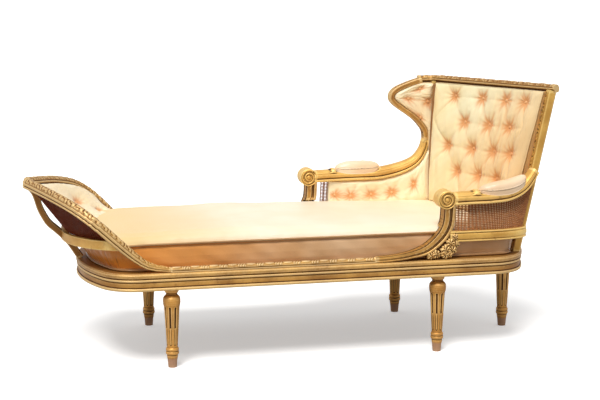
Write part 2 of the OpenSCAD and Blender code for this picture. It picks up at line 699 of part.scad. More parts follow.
module arm_cane_near() {
    g = [for (d = [-cane_t / 2, cane_t / 2]) [for (i = [0:cane_steps]) [for (k = [0:4])
        near_inner(i / cane_steps, k / 4, d)]]];
    color(cane_brown) slab(g[0], g[1]);
}
module arm_cane_far() {
    g = [for (d = [-cane_t / 2, cane_t / 2]) [for (i = [0:cane_steps]) [for (k = [0:4])
        far_inner(i / cane_steps, k / 4, d)]]];
    color(cane_brown) slab(g[1], g[0]);
}

// Mattress: rounded outline cut back along the foot of the back
mattress_head_gap = 12;
mattress_corner_r = 60;
mattress_y = half_w - mattress_inset;
function head_line_x(y) =
    lerp(near_foot[0], far_foot[0], (y - near_foot[1]) / (far_foot[1] - near_foot[1])) - mattress_head_gap;
function fillet(p, q, s, r, n) =
    let(a = unit(p - q), b = unit(s - q), half = acos(a * b) / 2, c = q + unit(a + b) * r / sin(half),
        t0 = q + a * r / tan(half) - c, a0 = atan2(t0[1], t0[0]), turn = 180 - 2 * half)
    [for (k = [0:n]) c + r * [cos(a0 + turn * k / n), sin(a0 + turn * k / n)]];
near_corner = [head_line_x(-mattress_y), -mattress_y];
far_corner = [head_line_x(mattress_y), mattress_y];
function distinct(p) = [for (i = [0:len(p) - 1]) if (norm(p[i] - p[(i + 1) % len(p)]) > joint_gap) p[i]];
mattress_plan = distinct(concat(foot_half_plan(mattress_inset, 6),
    [for (k = [1:3]) [lerp(foot_cx, near_corner[0] - 2 * mattress_corner_r, k / 3), -mattress_y]],
    fillet([foot_cx, -mattress_y], near_corner, far_corner, mattress_corner_r, 6),
    fillet(near_corner, far_corner, [foot_cx, mattress_y], mattress_corner_r, 6),
    [for (k = [2:-1:1]) [lerp(foot_cx, far_corner[0] - 2 * mattress_corner_r, k / 3), mattress_y]]));
mattress_foot_x = foot_end_x + mattress_inset;
mattress_z = rail_top + soft_gap;
mattress_top = mattress_z + mattress_t;
// Rings of the mattress: draw-in as a share of the way to the spine, height as a share of the edge
edge_ring_shares = [[0.05, 0], [0.012, 0.03], [0, 0.08], [0.018, 0.16], [0.006, 0.5], [0.018, 0.86],
    [0, 0.94], [0.014, 1]];
crown_ring_shares = [[0.035, 0.34], [0.08, 0.64], [0.18, 0.86], [0.45, 0.98], [0.95, 1]];
// The crown is highest towards the foot and falls to the back
crown_peak_share = 0.27;
crown_fall_share = [0.6, 0.66];
crown_peak_x = foot_cx + crown_peak_share * side_len;
crown_power = 1.3;
function crown_at(x) =
    mattress_crown * (1 - crown_fall_share[0]
        * pow(abs(x - crown_peak_x) / (crown_fall_share[1] * side_len), crown_power));
function to_spine(p, k) =
    lerp(p, [min(max(p[0], mattress_foot_x + mattress_y), far_corner[0] - mattress_y), 0], k);
mattress_rings = concat(
    [for (q = edge_ring_shares) [for (p = mattress_plan)
        let(s = to_spine(p, q[0])) [s[0], s[1], mattress_z + q[1] * mattress_t]]],
    [for (q = crown_ring_shares) [for (p = mattress_plan)
        let(s = to_spine(p, q[0])) [s[0], s[1], mattress_top + q[1] * crown_at(s[0])]]]);
module mattress() color(satin) {
    n = len(mattress_rings);
    m = len(mattress_plan);
    middle = [[crown_peak_x, 0, mattress_z], [crown_peak_x, 0, mattress_top + mattress_crown]];
    polyhedron(concat([for (r = mattress_rings) each r], middle),
        concat([for (f = ring_faces(n, m)) [f[2], f[1], f[0]]],
            [for (j = [0:m - 1]) each [[j, (j + 1) % m, n * m],
                [(n - 1) * m + (j + 1) % m, (n - 1) * m + j, n * m + 1]]]), convexity = 4);
}
head_crown_top = mattress_top + crown_at(far_foot[0]);
// Height of the mattress top over a point of its foot half, whose corners are rounded by a power
bow_power = 3.5;
mattress_foot_centre = mattress_foot_x + mattress_y;
function mattress_over(x, y) =
    let(out = max(mattress_foot_centre - x, 0),
        r = pow(pow(out, bow_power) + pow(abs(y), bow_power), 1 / bow_power))
    mattress_top + crown_at(x) * lookup(1 - r / mattress_y, concat([[0, 0]], crown_ring_shares));
// Height of the mattress where a pad stands on it, a pad's thickness in from its edge
pad_foot_share = 0.72;
function pad_foot_z(x) = mattress_top + pad_foot_share * crown_at(x) + soft_gap;

// Back cushion: thick at the seat, thin under the crest, buttoned in diamonds
cushion_near_share = stile_u + 0.006;
cushion_far_share = [0.955, 0.925];
cushion_v = [back_v(head_crown_top + soft_gap), crest_v - soft_gap / back_h];
cushion_rear_gap = 3.5;
cushion_seat = cane_depth - cushion_rear_gap;
// Buttons stand in columns that close up towards the short arm, and in even rows
back_col_share = [0.8, -0.145, 0.0058];
back_row_share = [0.905, -0.205];
back_cols = 7;
back_rows = 4;
function col_share(j) = back_col_share[0] + back_col_share[1] * j + back_col_share[2] * j * j;
function col_at(s) =
    let(b = back_col_share[1], c = back_col_share[0] - s)
    (-b - sqrt(max(b * b - 4 * back_col_share[2] * c, 0))) / (2 * back_col_share[2]);
tuft_depth = 20;
back_n = 27;
back_m = 26;
function back_tuft(s, t) =
    let(j = col_at(s), m = (t - back_row_share[0]) / back_row_share[1])
    puff((j + m) / 2, (j - m) / 2);
function back_thick(t) = back_pad_top + (back_pad_foot - back_pad_top) * (1 - t * t);
function cushion_pt(s, t, w) =
    back_pt(lerp(cushion_near_share, lerp(cushion_far_share[0], cushion_far_share[1], t), s),
        lerp(cushion_v[0], cushion_v[1], t), w);
function cushion_front(s, t) =
    let(roll = edge_roll(s, t, cushion_roll_share), full = back_thick(t))
    cushion_pt(s, t, tuft_depth * roll * (1 - back_tuft(s, t)) * (full / back_pad_foot)
        - full * lerp(edge_thick_share, 1, roll));
cushion_draw_share = 0.012;
function drawn_in(q) = lerp(cushion_draw_share, 1 - cushion_draw_share, q);
// The cushion's rear lies in the back frame, and in front of the far stile where it laps over it
cushion_lap_share = 0.97;
function cushion_rear(q) =
    let(u = lerp(cushion_near_share, lerp(cushion_far_share[0], cushion_far_share[1], q[1]), q[0]))
    cushion_pt(q[0], q[1], u > cushion_lap_share * (1 - stile_u) ? -soft_gap : cushion_seat);
module back_cushion() {
    b = border_shares(back_n + 1, back_m + 1);
    color(satin)
        cushion([for (i = [0:back_n]) [for (k = [0:back_m]) cushion_front(i / back_n, k / back_m)]],
            [for (q = b) cushion_pt(drawn_in(q[0]), drawn_in(q[1]), -soft_gap)],
            [for (q = b) cushion_rear(q)],
            [for (q = b) cushion_pt(lerp(q[0], 0.5, 0.5), lerp(q[1], 0.5, 0.5), cushion_seat)],
            cushion_pt(0.5, 0.5, cushion_seat));
}
// Where the wing pad meets the far edge of the cushion, at a height given as a share of the back
function crease_x(v) =
    let(t = (v - cushion_v[0]) / (cushion_v[1] - cushion_v[0]))
    cushion_pt(1, t, -edge_thick_share * back_thick(t))[0];
edge_thick_share = 0.35;
cushion_roll_share = 0.12;
module back_buttons() color(satin)
    for (m = [0:back_rows - 1], j = [m % 2:2:back_cols - 1]) {
        s = col_share(j);
        t = back_row_share[0] + back_row_share[1] * m;
        button_at(cushion_front(s, t) - back_rear(s, t) * soft_gap, -back_rear(s, t), button_d);
    }

// Wing: a scrolled frame rising from the long arm to the crest, with cane outside and a pad inside
wing_neck_z = far_arm_ctrl[len(far_arm_ctrl) - 1][2];
wing_rise = crest_side_z - wing_neck_z;
wing_shares = [[0, 0], [0.025, 0.143], [0.144, 0.265], [0.344, 0.396], [0.8, 0.612], [0.88, 0.722],
    [0.74, 0.8], [0.34, 0.9], [0.13, 0.985]];
wing_ctrl = [for (q = wing_shares) [wing_neck_x - q[0] * wing_len, arm_cy, wing_neck_z + q[1] * wing_rise]];
wing_path = spline(wing_ctrl, 3);
wing_section = scaled(rail_bar_shares, wing_t, wing_w);
module wing_frame() color(gilt)
    difference() {
        sweep(wing_path, wing_section, [0, 1, 0]);
        crest_rail();
        stile(1 - stile_u / 2);
    }
// Point of the wing path drawn in towards the back by d, on the wing's own plane
function wing_in(i, d) = let(t = tangent(wing_path, i)) wing_path[i] + d * [t[2], 0, -t[0]];
wing_rows = len(wing_path);
module wing_cane() color(cane_brown)
    translate([0, arm_cy + wing_cane_out, 0])
        rotate([90, 0, 0])
            linear_extrude(cane_t)
                polygon(concat([for (i = [0:wing_rows - 1])
                        let(p = wing_in(i, wing_t / 2 + joint_gap)) [p[0], p[2]]],
                    [for (v = wing_cane_back_share) [back_flat(1, v)[0] - joint_gap, back_flat(1, v)[2]]]));
wing_cane_out = 8;
wing_cane_back_share = [0.95, 0.6];
wing_first = 2;
wing_last = wing_rows - 3;
wing_cols = 10;
wing_pitch_share = [0.55, 0.32];
// The front of the back frame at a height given as a share
function back_face_x(y, v) =
    let(a = lerp(near_foot, near_head, v), b = lerp(far_foot, far_head, v))
    lerp(a[0], b[0], (y - a[1]) / (b[1] - a[1]));
function wing_pt(i, s, d) =
    let(p = wing_in(i, wing_t / 2 + soft_gap), v = back_v(p[2]), y = arm_cy - d,
        x1 = max(min(crease_x(v), back_face_x(y, v)) - soft_gap, p[0] + wing_t / 2))
    [lerp(p[0], x1, s), y, p[2]];
wing_edge_share = 0.3;
wing_roll_share = 0.22;
wing_tuft_depth = 12;
function wing_pad_pt(i, s) =
    let(t = (i - wing_first) / (wing_last - wing_first), roll = edge_roll(s, t, wing_roll_share),
        a = (s - 0.5) / wing_pitch_share[0], b = (t - 0.5) / wing_pitch_share[1])
    wing_pt(i, s, lerp(wing_edge_share, 1, roll) * wing_pad_t
        - wing_tuft_depth * roll * (1 - puff(a + b, a - b)));
module wing_pad() {
    color(satin) slab(
        [for (i = [wing_first:wing_last]) [for (k = [0:wing_cols])
            wing_pt(i, k / wing_cols, -wing_cane_out + cane_t + soft_gap)]],
        [for (i = [wing_first:wing_last]) [for (k = [0:wing_cols]) wing_pad_pt(i, k / wing_cols)]]);
}

// Pads on the inside of the arms, buttoned in one row of diamonds
side_cols = 36;
side_rows = 6;
side_pitch = 96;
function far_pad_pt(s, t, d) =
    let(high = arm_under(far_arm_path, lerp(far_side_share[0], far_side_share[1], s), wing_w / arm_w, soft_gap))
    [high[0], arm_cy - d, lerp(pad_foot_z(high[0]), high[2], t)];
far_side_share = [0.13, 0.94];
side_edge_share = 0.35;
side_roll_share = 0.3;
function side_front(s, t, n, deep) =
    let(roll = edge_roll(s, t, side_roll_share), a = s * n)
    lerp(side_edge_share, 1, roll) * side_pad_t - deep * roll * (1 - puff(a + t, a - t));
side_deep = 13;
far_side_n = round(far_arm_len / side_pitch);
near_side_n = round(near_arm_len / side_pitch);
// Back of the long arm's pad, against the cane
function far_pad_back(s, t) =
    let(p = far_pad_pt(s, t, 0), high = far_pad_pt(s, 1, 0)[2], low = band_mid_z + band_h / 2)
    [p[0], lerp(band_cy, arm_cy, (p[2] - low) / (high - low)) - cane_t / 2 - soft_gap, p[2]];
module side_pad_far() {
    color(satin) slab(
        [for (i = [0:side_cols]) [for (k = [0:side_rows]) let(s = i / side_cols, t = k / side_rows)
            far_pad_pt(s, t, side_front(s, t, far_side_n, side_deep))]],
        [for (i = [0:side_cols]) [for (k = [0:side_rows]) far_pad_back(i / side_cols, k / side_rows)]]);
}
near_side_cols = 24;
function near_pad_pt(s, t, d) =
    let(a = lerp(near_side_share[0], near_side_share[1], s), p = near_inner(a, 1, cane_t / 2 + soft_gap),
        q = near_inner(a, 0, cane_t / 2 + soft_gap), k = (pad_foot_z(p[0]) - q[2]) / (p[2] - q[2]),
        r = lerp(q, p, lerp(k, near_side_top_share, t)),
        b = near_inner(a + near_step_share, 0.5, 0), c = near_inner(a - near_step_share, 0.5, 0))
    yaw_off(r, r + b - c, d);
near_side_share = [0.12, 0.84];
near_side_top_share = 0.99;
near_step_share = 0.03;
module side_pad_near() {
    color(satin) slab(
        [for (i = [0:near_side_cols]) [for (k = [0:side_rows])
            near_pad_pt(i / near_side_cols, k / side_rows, 0)]],
        [for (i = [0:near_side_cols]) [for (k = [0:side_rows]) let(s = i / near_side_cols, t = k / side_rows)
            near_pad_pt(s, t, side_front(s, t, near_side_n, side_deep))]]);
}
module side_buttons() color(satin) {
    for (i = [0:far_side_n - 1])
        let(s = (i + 0.5) / far_side_n)
        button_at(far_pad_pt(s, 0.5, side_front(s, 0.5, far_side_n, side_deep) + soft_gap),
            [0, -1, 0], button_d);
}

// Arm pads: small domed cushions let into the arms
pad_cols = 8;
pad_half_share = 0.46;
function pad_half(s) = arm_w * pad_half_share * bow01(s, 3) + soft_gap;
function pad_rise(s, c) =
    soft_gap + (arm_pad_h - pad_recess) * bow01(s, pad_power) * pow(max(1 - pow(abs(c), pad_power), 0), 0.5);
pad_power = 2.6;
module arm_pad(path, span) {
    slab([for (i = [0:pad_steps]) [for (k = [0:pad_cols]) let(s = i / pad_steps, c = 2 * k / pad_cols - 1)
            pad_at(path, span, s, c * pad_half(s), soft_gap + pad_rise(s, c))]],
        [for (i = [0:pad_steps]) [for (k = [0:pad_cols]) let(s = i / pad_steps, c = 2 * k / pad_cols - 1)
            pad_at(path, span, s, c * pad_half(s), soft_gap + pad_floor(s))]]);
}
module arm_pad_near() color(satin) arm_pad(near_arm_path, near_pad_span);
module arm_pad_far() color(satin) arm_pad(far_arm_path, far_pad_span);

// Foot end: two rims rise from the carved bands and meet at a carved knot over a central post
rim_shares = [[0, 1, 0.035], [0.147, 1, 0.094], [0.274, 1, 0.262], [0.4, 1, 0.471], [0.526, 0.975, 0.67],
    [0.653, 0.83, 0.815], [0.8, 0.54, 0.915], [0.92, 0.24, 0.97], [1, 0.04, 1]];
rim_scale_shares = [0.45, 0.7, 0.9, 1, 1, 1, 1, 1, 1];
rim_steps = 3;
// Centre line of a rim, on the far side for s = 1 and on the near side for s = -1
// Shares along the foot end reach the post, which stands on the end rail, and then the tip
prow_tip_x = -prow_x - prow_len;
post_foot_inset = 16;
post_foot_x = foot_end_x + post_foot_inset;
post_foot_share = 0.605;
function prow_at(x) = x < post_foot_share ? lerp(-prow_x, post_foot_x, x / post_foot_share)
    : lerp(post_foot_x, prow_tip_x, (x - post_foot_share) / (1 - post_foot_share));
function prow_pt(x, y, z) = [prow_at(x), y * prow_half_w, rail_top + z * prow_h];
function rim_line(s) =
    spline([for (q = rim_shares) prow_pt(q[0], s * q[1], q[2]) + [s * rim_skew / 2 * sin(180 * q[0]), 0, 0]],
        rim_steps);
rim_last = (len(rim_shares) - 1) * rim_steps;
rim_section = scaled(rail_bar_shares, rim_w, rim_t);
function rim_scale(k) = along(rim_scale_shares, k / rim_last);
module rim_sweep(s, a, b) {
    line = rim_line(s);
    sweep([for (k = [a:b]) line[k]], rim_section, [0, 0, 1], [for (k = [a:b]) rim_scale(k)]);
}
knot_r = 17;
knot_h = 46;
knot_drop = 6;
knot_x = prow_tip_x + knot_r / 2;
knot_shares = [[0, -0.5], [0.45, -0.42], [0.6, -0.3], [0.5, -0.2], [0.9, 0], [1, 0.14], [0.85, 0.32],
    [0.4, 0.44], [0, 0.5]];
module knot_body(grow) {
    translate([knot_x, 0, rail_top + prow_h - knot_drop])
        rotate_extrude($fn = 32)
            polygon([for (q = knot_shares) [q[0] * knot_r + (q[0] > 0 ? grow : 0), q[1] * (knot_h + grow)]]);
}
module foot_knot() color(gilt) knot_body(0);
module rim_bar(s) {
    difference() {
        rim_sweep(s, 0, rim_last);
        knot_body(joint_gap);
        translate([-2 * seat_w, -seat_w, 0]) cube([2 * seat_w, 2 * seat_w, rail_top]);
        translate([-2 * seat_w, s > 0 ? -seat_w : 0, 0]) cube([2 * seat_w, seat_w, 2 * seat_w]);
    }
}
module foot_rim_far() color(gilt) rim_bar(1);
module foot_rim_near() color(gilt) rim_bar(-1);
post_path_shares = [[0.975, 0.94], [0.95, 0.885], [0.93, 0.806], [0.908, 0.677], [0.879, 0.57], [0.84, 0.466],
    [0.768, 0.355], [0.691, 0.215], [0.626, 0.047], [0.605, -0.03]];
foot_post_t = 24;
foot_post_w = 42;
post_line_steps = 2;
foot_post_path = spline([for (q = post_path_shares) prow_pt(q[0], 0, q[1])], post_line_steps);
foot_post_last = len(foot_post_path) - 1;
module foot_post_bar(a, b) {
    difference() {
        sweep([for (k = [a:b]) foot_post_path[k]],
            scaled(rail_bar_shares, foot_post_t, foot_post_w), [0, 1, 0]);
        knot_body(joint_gap);
        translate([-2 * seat_w, -seat_w, 0]) cube([2 * seat_w, 2 * seat_w, rail_top]);
    }
}
// The ends of the rims that the post meets
module rim_tips() {
    for (s = [-1, 1]) rim_sweep(s, rim_last - 4, rim_last);
}
module foot_post() color(gilt)
    difference() {
        foot_post_bar(0, foot_post_last);
        rim_tips();
    }
foot_band_shares = [[0.345, 0.985, 0.355], [0.45, 0.94, 0.357], [0.55, 0.82, 0.352], [0.62, 0.66, 0.342],
    [0.68, 0.45, 0.328], [0.718, 0.22, 0.316], [0.732, 0, 0.31]];
foot_band_steps = 2;
foot_band_half = spline([for (q = foot_band_shares) prow_pt(q[0], q[1], q[2])], foot_band_steps);
foot_band_path = concat(foot_band_half, [for (i = [len(foot_band_half) - 2:-1:0]) flip_y(foot_band_half[i])]);
band_post_share = [0.5, 0.88];
module foot_band() color(gilt)
    difference() {
        sweep(foot_band_path, scaled(rail_bar_shares, band_t, foot_band_h), [0, 0, 1]);
        foot_post_bar(round(band_post_share[0] * foot_post_last), round(band_post_share[1] * foot_post_last));
        for (s = [-1, 1]) rim_sweep(s, rim_steps, 5 * rim_steps);
    }

// The foot shell between band and rims: t runs from the near side round to the far side
rim_join_share = 0.42;
rim_tip_share = 0.985;
foot_pad_top_share = 0.96;
function signed_y(p, t) = [p[0], p[1] * (t < 0 ? -1 : 1), p[2]];
function on_rim(t) = along(rim_line(t < 0 ? -1 : 1), lerp(rim_tip_share, rim_join_share, abs(t)));
function shell_low(t) = signed_y(along(foot_band_half, 1 - abs(t)), t) + [0, 0, foot_band_h / 2];
function shell_high(t) =
    under(rim_line(t < 0 ? -1 : 1), lerp(rim_tip_share, rim_join_share, abs(t)), rim_t / 2 + joint_gap);
prow_focus = 40;
function inward(p, d) = p + d * unit([prow_focus - prow_x - p[0], -p[1], 0]);
shell_tuck = 6;
function shell_pt(t, v, d) = inward(lerp(shell_low(t), shell_high(t), v), d);
shell_cols = 16;
module foot_cane(t0, t1) {
    g = [for (d = [0, cane_t]) [for (i = [0:shell_cols]) [for (k = [0:4])
        shell_pt(lerp(t0, t1, i / shell_cols), k / 4, shell_tuck + d)]]];
    post_room = foot_post_w + 2 * joint_gap;
    color(cane_brown)
        difference() {
            slab(g[1], g[0]);
            translate([-2 * seat_w, -post_room / 2, 0]) cube([2 * seat_w, post_room, 2 * seat_w]);
        }
}
cane_side_share = [0.001, 0.96];
module foot_cane_near() foot_cane(-cane_side_share[1], -cane_side_share[0]);
module foot_cane_far() foot_cane(cane_side_share[0], cane_side_share[1]);
foot_pad_cols = 36;
foot_pad_rows = 10;
foot_pad_reach = 0.9;
foot_tuft_n = 4.5;
foot_tuft_rows = 1.6;
foot_base_share = [0.257, 0.88];
foot_base_x = prow_at(foot_base_share[0]);
function foot_base(t) =
    let(y = t * prow_half_w * foot_base_share[1]) [foot_base_x, y, mattress_over(foot_base_x, y)];
function foot_top(t) = inward(on_rim(t), rim_w / 2 + foot_pad_t * 0.55) - [0, 0, rim_t * 0.1];
function foot_pad_back(t, v) =
    let(p = shell_pt(t, v * foot_pad_top_share, shell_tuck + cane_t + soft_gap))
    [p[0], p[1], max(p[2], mattress_over(p[0], p[1]))];
foot_edge_drop = 8;
foot_tuft_depth = 14;
foot_roll_share = 0.16;
function foot_out(t) = unit([0.5, -t * 0.5, 0.75]);
function foot_pad_front(t, v) =
    let(roll = edge_roll((t / foot_pad_reach + 1) / 2, v, foot_roll_share),
        a = t * foot_tuft_n, b = v * foot_tuft_rows)
    lerp(foot_base(t), foot_top(t), v) - [0, 0, foot_scoop * 4 * v * (1 - v)]
        - foot_out(t) * (foot_tuft_depth * roll * (1 - puff(a + b, a - b)) + (1 - roll) * foot_edge_drop);
foot_scoop = 16;
module foot_pad() color(satin)
    difference() {
        slab(
            [for (i = [0:foot_pad_cols]) [for (k = [0:foot_pad_rows])
                foot_pad_front(lerp(-foot_pad_reach, foot_pad_reach, i / foot_pad_cols), k / foot_pad_rows)]],
            [for (i = [0:foot_pad_cols]) [for (k = [0:foot_pad_rows])
                foot_pad_back(lerp(-foot_pad_reach, foot_pad_reach, i / foot_pad_cols), k / foot_pad_rows)]]);
        translate([0, 0, soft_gap]) mattress();
        foot_post_bar(0, round(band_post_share[0] * foot_post_last));
    }
module foot_buttons() color(satin)
    for (i = [-3:3])
        let(t = i / foot_tuft_n, v = (i % 2 == 0 ? 1 : 0.5) / foot_tuft_rows)
        button_at(foot_pad_front(t, v) + foot_out(t) * soft_gap, foot_out(t), button_d);
module wing_buttons() color(satin)
    for (q = wing_button_places)
        let(s = 0.5 + q[0] * wing_pitch_share[0] / 2, t = 0.5 + q[1] * wing_pitch_share[1] / 2,
            j = round(lerp(wing_first, wing_last, t)))
        button_at(wing_pad_pt(j, s) + [0, -soft_gap, 0], [0, -1, 0], button_d);
wing_button_places = [[-1, -1], [1, 1], [-1, 1], [0, 0]];

seat_rail_near();
seat_rail_far();
seat_rail_foot();
seat_rail_head();
ribbon_band_near();
ribbon_band_far();
rail_dowels();
deck_slats();
deck_panel();
leg_near_foot();
leg_near_head();
leg_far_foot();
leg_far_head();
leg_head_centre();
leg_dowels();
mattress();
foot_rim_near();
foot_rim_far();
foot_knot();
foot_post();
foot_band();
foot_cane_near();
foot_cane_far();
foot_pad();
foot_buttons();
arm_near();
arm_far();
volute_near();
volute_far();
arm_post_near();
arm_post_far();
acanthus_near();
acanthus_far();
arm_band_near();
arm_band_far();
arm_cane_near();
arm_cane_far();
arm_pad_near();
arm_pad_far();
side_pad_near();
side_pad_far();
side_buttons();
stile_near();
stile_far();
crest_rail();
back_bottom_rail();
back_cane();
back_cushion();
back_buttons();
wing_frame();
wing_cane();
wing_pad();
wing_buttons();
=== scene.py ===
# %% [markdown]
# A recamier: a long upholstered seat on turned legs, with a scooped foot end and a tufted back.
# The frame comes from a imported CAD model, and this script dresses it. Wood is swept and carved,
# cloth is puffed, and both keep the places that the frame gives them.

# %% Load the frame
import json
import math

import bpy
import numpy as np
from mathutils.geometry import tessellate_polygon
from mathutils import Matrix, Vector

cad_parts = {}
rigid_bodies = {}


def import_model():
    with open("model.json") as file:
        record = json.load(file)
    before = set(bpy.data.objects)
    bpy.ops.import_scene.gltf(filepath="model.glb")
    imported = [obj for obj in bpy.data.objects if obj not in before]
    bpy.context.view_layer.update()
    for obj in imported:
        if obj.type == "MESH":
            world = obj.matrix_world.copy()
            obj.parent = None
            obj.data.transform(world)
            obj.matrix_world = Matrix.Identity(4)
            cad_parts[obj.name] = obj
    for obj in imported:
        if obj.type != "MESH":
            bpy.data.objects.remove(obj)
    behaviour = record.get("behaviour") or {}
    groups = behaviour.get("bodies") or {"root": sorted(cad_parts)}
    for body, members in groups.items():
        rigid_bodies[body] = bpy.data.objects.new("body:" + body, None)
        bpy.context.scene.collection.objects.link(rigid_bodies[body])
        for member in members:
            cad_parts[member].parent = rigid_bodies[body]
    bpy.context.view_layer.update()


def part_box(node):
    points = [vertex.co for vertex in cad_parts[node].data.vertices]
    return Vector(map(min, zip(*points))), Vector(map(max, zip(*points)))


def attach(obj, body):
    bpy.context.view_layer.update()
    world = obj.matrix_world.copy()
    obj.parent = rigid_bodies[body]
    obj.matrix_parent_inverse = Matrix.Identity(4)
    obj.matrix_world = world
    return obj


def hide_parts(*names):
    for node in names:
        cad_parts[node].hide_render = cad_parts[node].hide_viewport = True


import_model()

# %% [markdown]
# The camera stands where the photographer stood: low, a little above the seat, and turned towards
# the head end. A long lens keeps the two ends of the seat at nearly one scale.

# %% Camera
def add_object(name, data):
    obj = bpy.data.objects.new(name, data)
    bpy.context.scene.collection.objects.link(obj)
    return obj


CAMERA_PLACE = (-1.1555, -5.4005, 1.4757)
CAMERA_TILT_DEG = 9.73
CAMERA_TURN_DEG = 12.668

camera_data = bpy.data.cameras.new("camera")
camera_data.lens = 90
camera_data.sensor_width = 36
camera = add_object("camera", camera_data)
camera.location = CAMERA_PLACE
camera.rotation_euler = (math.radians(90 - CAMERA_TILT_DEG), 0, -math.radians(CAMERA_TURN_DEG))
bpy.context.scene.camera = camera

# %% [markdown]
# Paths and grids of points are numpy arrays, one row a point, in metres. A path starts as a few
# control points and is drawn through them as a smooth curve, then cut into even steps, so that
# carving keeps its scale however long the piece is.

# %% Curves
def lerp(a, b, t):
    return a + (b - a) * t


def smooth01(t):
    c = np.clip(t, 0, 1)
    return c * c * (3 - 2 * c)


def unit(v):
    return v / np.maximum(np.linalg.norm(v, axis=-1, keepdims=True), 1e-12)


def spline(points, steps):
    """A smooth curve through the points, with that many steps between neighbours."""
    p = np.array(points, float)
    out = []
    for i in range(len(p) - 1):
        a, b = p[max(i - 1, 0)], p[i]
        c, d = p[i + 1], p[min(i + 2, len(p) - 1)]
        for t in np.arange(steps) / steps:
            out.append(0.5 * (2 * b + (c - a) * t + (2 * a - 5 * b + 4 * c - d) * t * t
                              + (3 * b - a - 3 * c + d) * t * t * t))
    out.append(p[-1])
    return np.array(out)


def path_length(path):
    return np.concatenate([[0], np.cumsum(np.linalg.norm(np.diff(path, axis=0), axis=1))])


def at_share(path, s):
    """Points at shares of a path's number of steps, as the frame's own rules count them."""
    x = np.clip(np.asarray(s, float), 0, 1) * (len(path) - 1)
    steps = np.arange(len(path))
    return np.stack([np.interp(x, steps, column) for column in path.T], -1)


def even(path, step):
    """The same path in even steps, and each new point's share of the old one's steps."""
    d = path_length(path)
    n = max(int(round(d[-1] / step)), 2)
    want = np.linspace(0, d[-1], n + 1)
    share = np.interp(want, d, np.arange(len(path)) / (len(path) - 1))
    return at_share(path, share), share


def arc(cx, cy, r, a0, a1, n):
    a = np.radians(np.linspace(a0, a1, n + 1))
    return np.stack([cx + r * np.cos(a), cy + r * np.sin(a)], -1)


def along_x(x0, x1, y, z, n):
    """A straight path along x, of n points."""
    return np.stack([np.linspace(x0, x1, n), np.full(n, y), np.full(n, z)], -1)


# %% [markdown]
# A mesh is made from its points and faces in one call. One mark is measured on every mesh: how
# hollow each point lies against its surroundings, which the finishes use for dirt and painted shade
# in carving and for the warm painted shade in folds of satin.

# %% Meshes
def grid_faces(n, m, wrap=False):
    """Faces of n rows by m columns of points. With wrap, the last column meets the first."""
    i, j = np.meshgrid(np.arange(n - 1), np.arange(m if wrap else m - 1), indexing="ij")
    k = (j + 1) % m
    return np.stack([i * m + j, i * m + k, (i + 1) * m + k, (i + 1) * m + j], -1).reshape(-1, 4)


def make_mesh(name, points, faces, smooth=True):
    mesh = bpy.data.meshes.new(name)
    mesh.from_pydata(np.asarray(points, float).tolist(), [], [list(map(int, f)) for f in faces])
    mesh.validate()
    mesh.polygons.foreach_set("use_smooth", [smooth] * len(mesh.polygons))
    mesh.update()
    return add_object(name, mesh)


END_ROWS = 8  # of a bar, whose hollows its open end spoils


def measure_hollows(obj, rounds, scale, ring=0):
    """Stores in the attribute hollow how far each point lies below its smoothed surroundings.
    Rows of ring points near the open ends of a bar take the value of the rows further in."""
    mesh = obj.data
    n = len(mesh.vertices)
    co = np.zeros(n * 3)
    mesh.vertices.foreach_get("co", co)
    co = co.reshape(-1, 3)
    normals = np.zeros(n * 3)
    mesh.vertices.foreach_get("normal", normals)
    normals = normals.reshape(-1, 3)
    edges = np.zeros(len(mesh.edges) * 2, int)
    mesh.edges.foreach_get("vertices", edges)
    a, b = edges.reshape(-1, 2).T
    count = np.maximum(np.bincount(a, minlength=n) + np.bincount(b, minlength=n), 1)[:, None]
    soft = co.copy()
    for _ in range(rounds):
        near = np.stack([np.bincount(a, soft[b, k], n) + np.bincount(b, soft[a, k], n)
                         for k in range(3)], -1)
        soft = 0.5 * soft + 0.5 * near / count
    value = np.einsum("ij,ij->i", soft - co, normals) / scale
    if ring:
        rows = value[:-2].reshape(-1, ring)
        rows[:END_ROWS], rows[-END_ROWS:] = rows[END_ROWS], rows[-END_ROWS - 1]
    attribute = mesh.attributes.new("hollow", "FLOAT", "POINT")
    attribute.data.foreach_set("value", np.clip(value, -1, 1).astype(np.float32))


def get_hollows(obj):
    value = np.zeros(len(obj.data.vertices), np.float32)
    obj.data.attributes["hollow"].data.foreach_get("value", value)
    return value


def set_hollows(obj, value):
    obj.data.attributes["hollow"].data.foreach_set("value", value.astype(np.float32))


def across_and_up(path, up):
    """Directions across a path and up from it, square to the way it runs."""
    way = unit(np.gradient(path, axis=0))
    across = unit(np.cross(way, np.array(up, float)))
    return across, np.cross(across, way)


def closed(rings, first, last, flip=False):
    """A body from rings of points, an array of n by m: a fan round first and one round last close
    its ends. flip turns every face over."""
    n, m = rings.shape[:2]
    j = np.arange(m)
    k = (j + 1) % m
    start = np.stack([j, k, np.full(m, n * m)], -1)
    end = np.stack([(n - 1) * m + k, (n - 1) * m + j, np.full(m, n * m + 1)], -1)
    faces = grid_faces(n, m, wrap=True)[:, ::-1].tolist() + start.tolist() + end.tolist()
    points = np.concatenate([rings.reshape(-1, 3), [first, last]])
    return points, [face[::-1] for face in faces] if flip else faces


